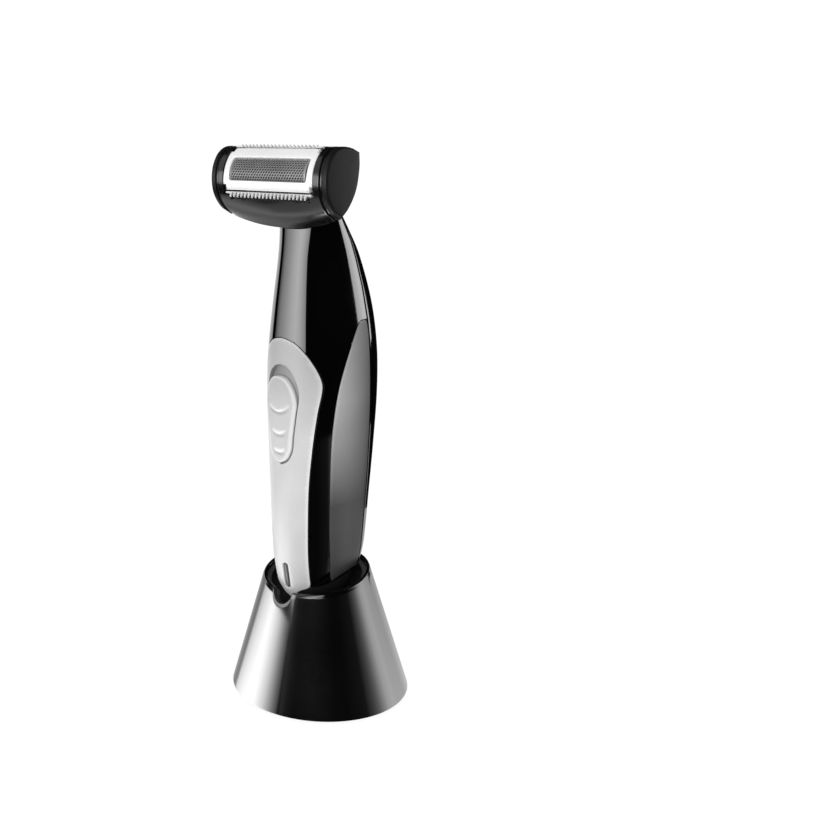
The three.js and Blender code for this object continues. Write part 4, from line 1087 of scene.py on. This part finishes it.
def build_combs():
    """Each comb is a thin plate with teeth, on two legs."""
    for name, (root, tip, low, high) in COMBS.items():
        outline = comb_outline(root, tip)
        size = len(outline)
        verts, _, faces, origins, _, _ = delaunay_2d_cdt(
            [Vector(p) for p in outline], [(i, (i + 1) % size) for i in range(size)], [], 1, 1e-7)
        places = np.array([(v.x, v.y) for v in verts])
        small = offset_outline(places, COMB_BEVEL)
        rings = [(small, high), (places, high - COMB_BEVEL), (places, low + COMB_BEVEL), (small, low)]
        build = Builder()
        index = [build.add(in_face(joined(*ring.T, z))) for ring, z in rings]
        order = [o[0] for o in origins]
        around = [order.index(i) for i in range(size)]
        for upper, lower in zip(index, index[1:]):
            for a, b in zip(around, around[1:] + around[:1]):
                build.faces.append((upper + a, upper + b, lower + b, lower + a))
        for face in faces:
            build.faces.append(tuple(index[0] + i for i in face))
            build.faces.append(tuple(index[-1] + i for i in reversed(face)))
        for end in (-1, 1):
            x0, x1 = sorted((end * (COMB_HALF - 0.4), end * 20.3))
            y0, y1 = sorted((root, root + math.copysign(0.6, root)))
            leg = rounded_box(x0, x1, y0, y1, 0.12, steps=2, spacing=2.0)
            build.tube([in_face(joined(*leg.T, z)) for z in (8.6, high - 0.05)])
        finish_piece(build, f"comb_{name}", "blade_steel", "cassette", f"{name}_comb", sharp=30)


# ---------------------------------------------------------------- stage, light and camera


def light_wall(name, radius, start, stop, low, high, strengths):
    """A curved soft light round the object, brighter or dimmer along its length. It shows only in gloss."""
    build = Builder()
    turns = np.radians(np.linspace(start, stop, 49))
    rows = [joined(radius * np.sin(turns), -radius * np.cos(turns), z) for z in np.linspace(low, high, 3)]
    build.grid(np.array(rows))
    material = bpy.data.materials.new(name)
    material.use_nodes = True
    nodes, links = material.node_tree.nodes, material.node_tree.links
    nodes.clear()
    along = nodes.new("ShaderNodeAttribute")
    along.attribute_name = "along"
    ramp = nodes.new("ShaderNodeValToRGB")
    peak = max(level for _, level in strengths)
    for turn, _ in strengths[1:-1]:
        ramp.color_ramp.elements.new((turn - start) / (stop - start))
    for element, (_, level) in zip(ramp.color_ramp.elements, strengths):
        element.color = (level / peak,) * 3 + (1,)
    links.new(along.outputs["Fac"], ramp.inputs["Fac"])
    glow = nodes.new("ShaderNodeEmission")
    glow.inputs["Strength"].default_value = peak
    links.new(ramp.outputs["Color"], glow.inputs["Color"])
    out = nodes.new("ShaderNodeOutputMaterial")
    links.new(glow.outputs["Emission"], out.inputs["Surface"])
    wall = build.object(name, material)
    lengths = wall.data.attributes.new("along", "FLOAT", "POINT")
    lengths.data.foreach_set("value", np.tile(np.linspace(0, 1, len(turns)), 3))
    wall.visible_camera = wall.visible_diffuse = wall.visible_shadow = False


def glow_white(shader, strength, specular):
    shader.inputs["Specular IOR Level"].default_value = specular
    shader.inputs["Emission Color"].default_value = (1, 1, 1, 1)
    shader.inputs["Emission Strength"].default_value = strength


def build_stage():
    """A pale floor inside a pale room. Neither shows in the object's gloss, only the soft lights do."""
    turns = np.linspace(0, 2 * math.pi, 64, endpoint=False)
    circle = joined(np.cos(turns), np.sin(turns), 0.0)
    floor, nodes, links, shader = new_material("studio_floor")
    drift = scaled_noise(nodes, links, 3.0)
    links.new(ramp_between(nodes, links, drift.outputs["Fac"], (0.11,) * 3, (0.13,) * 3),
              shader.inputs["Base Color"])
    shader.inputs["Roughness"].default_value = 0.9
    glow_white(shader, FLOOR_GLOW, 0.1)
    room, _, _, shader = new_material("studio_room")
    shader.inputs["Base Color"].default_value = (0, 0, 0, 1)
    glow_white(shader, ROOM_GLOW, 0.0)
    dome = [(ROOM * math.cos(lift), ROOM * math.sin(lift)) for lift in np.linspace(-0.05, math.pi / 2 - 0.01, 16)]
    disc = [(reach, 0.0) for reach in (0.0, 200.0, 800.0, 2000.0, ROOM)]
    for name, material, profile in (("studio_floor", floor, disc), ("studio_room", room, dome)):
        build = Builder()
        build.grid(np.array([circle * reach + [0, 0, height] for reach, height in profile]), close_cols=True)
        piece = build.object(name, material)
        piece.visible_glossy = False

    world = bpy.data.worlds.new("studio")
    bpy.context.scene.world = world
    world.use_nodes = True
    world.node_tree.nodes["Background"].inputs["Color"].default_value = (1, 1, 1, 1)
    world.node_tree.nodes["Background"].inputs["Strength"].default_value = WORLD_GLOW
    for wall in LIGHT_WALLS:
        light_wall(*wall)


def build_camera():
    """The camera looks at the object's front right corner."""
    data = bpy.data.cameras.new("camera")
    data.sensor_width, data.lens, data.clip_start = SENSOR, LENS, 0.01
    camera = bpy.data.objects.new("camera", data)
    bpy.context.collection.objects.link(camera)
    turn, tilt = math.radians(CAMERA_TURN - 45), math.radians(CAMERA_TILT)
    view = Vector((math.sin(turn) * math.cos(tilt), math.cos(turn) * math.cos(tilt), -math.sin(tilt)))
    camera.location = CAMERA_PLACE
    camera.rotation_euler = view.to_track_quat("-Z", "Y").to_euler()
    bpy.context.scene.camera = camera
    bpy.context.scene.view_settings.view_transform = "Standard"


build_camera()
build_stage()
build_stand()
build_shells()
build_panel()
build_inlays()
build_foot()
build_switch()
build_head_cover()
build_head_ends()
build_frame()
build_foil()
build_combs()
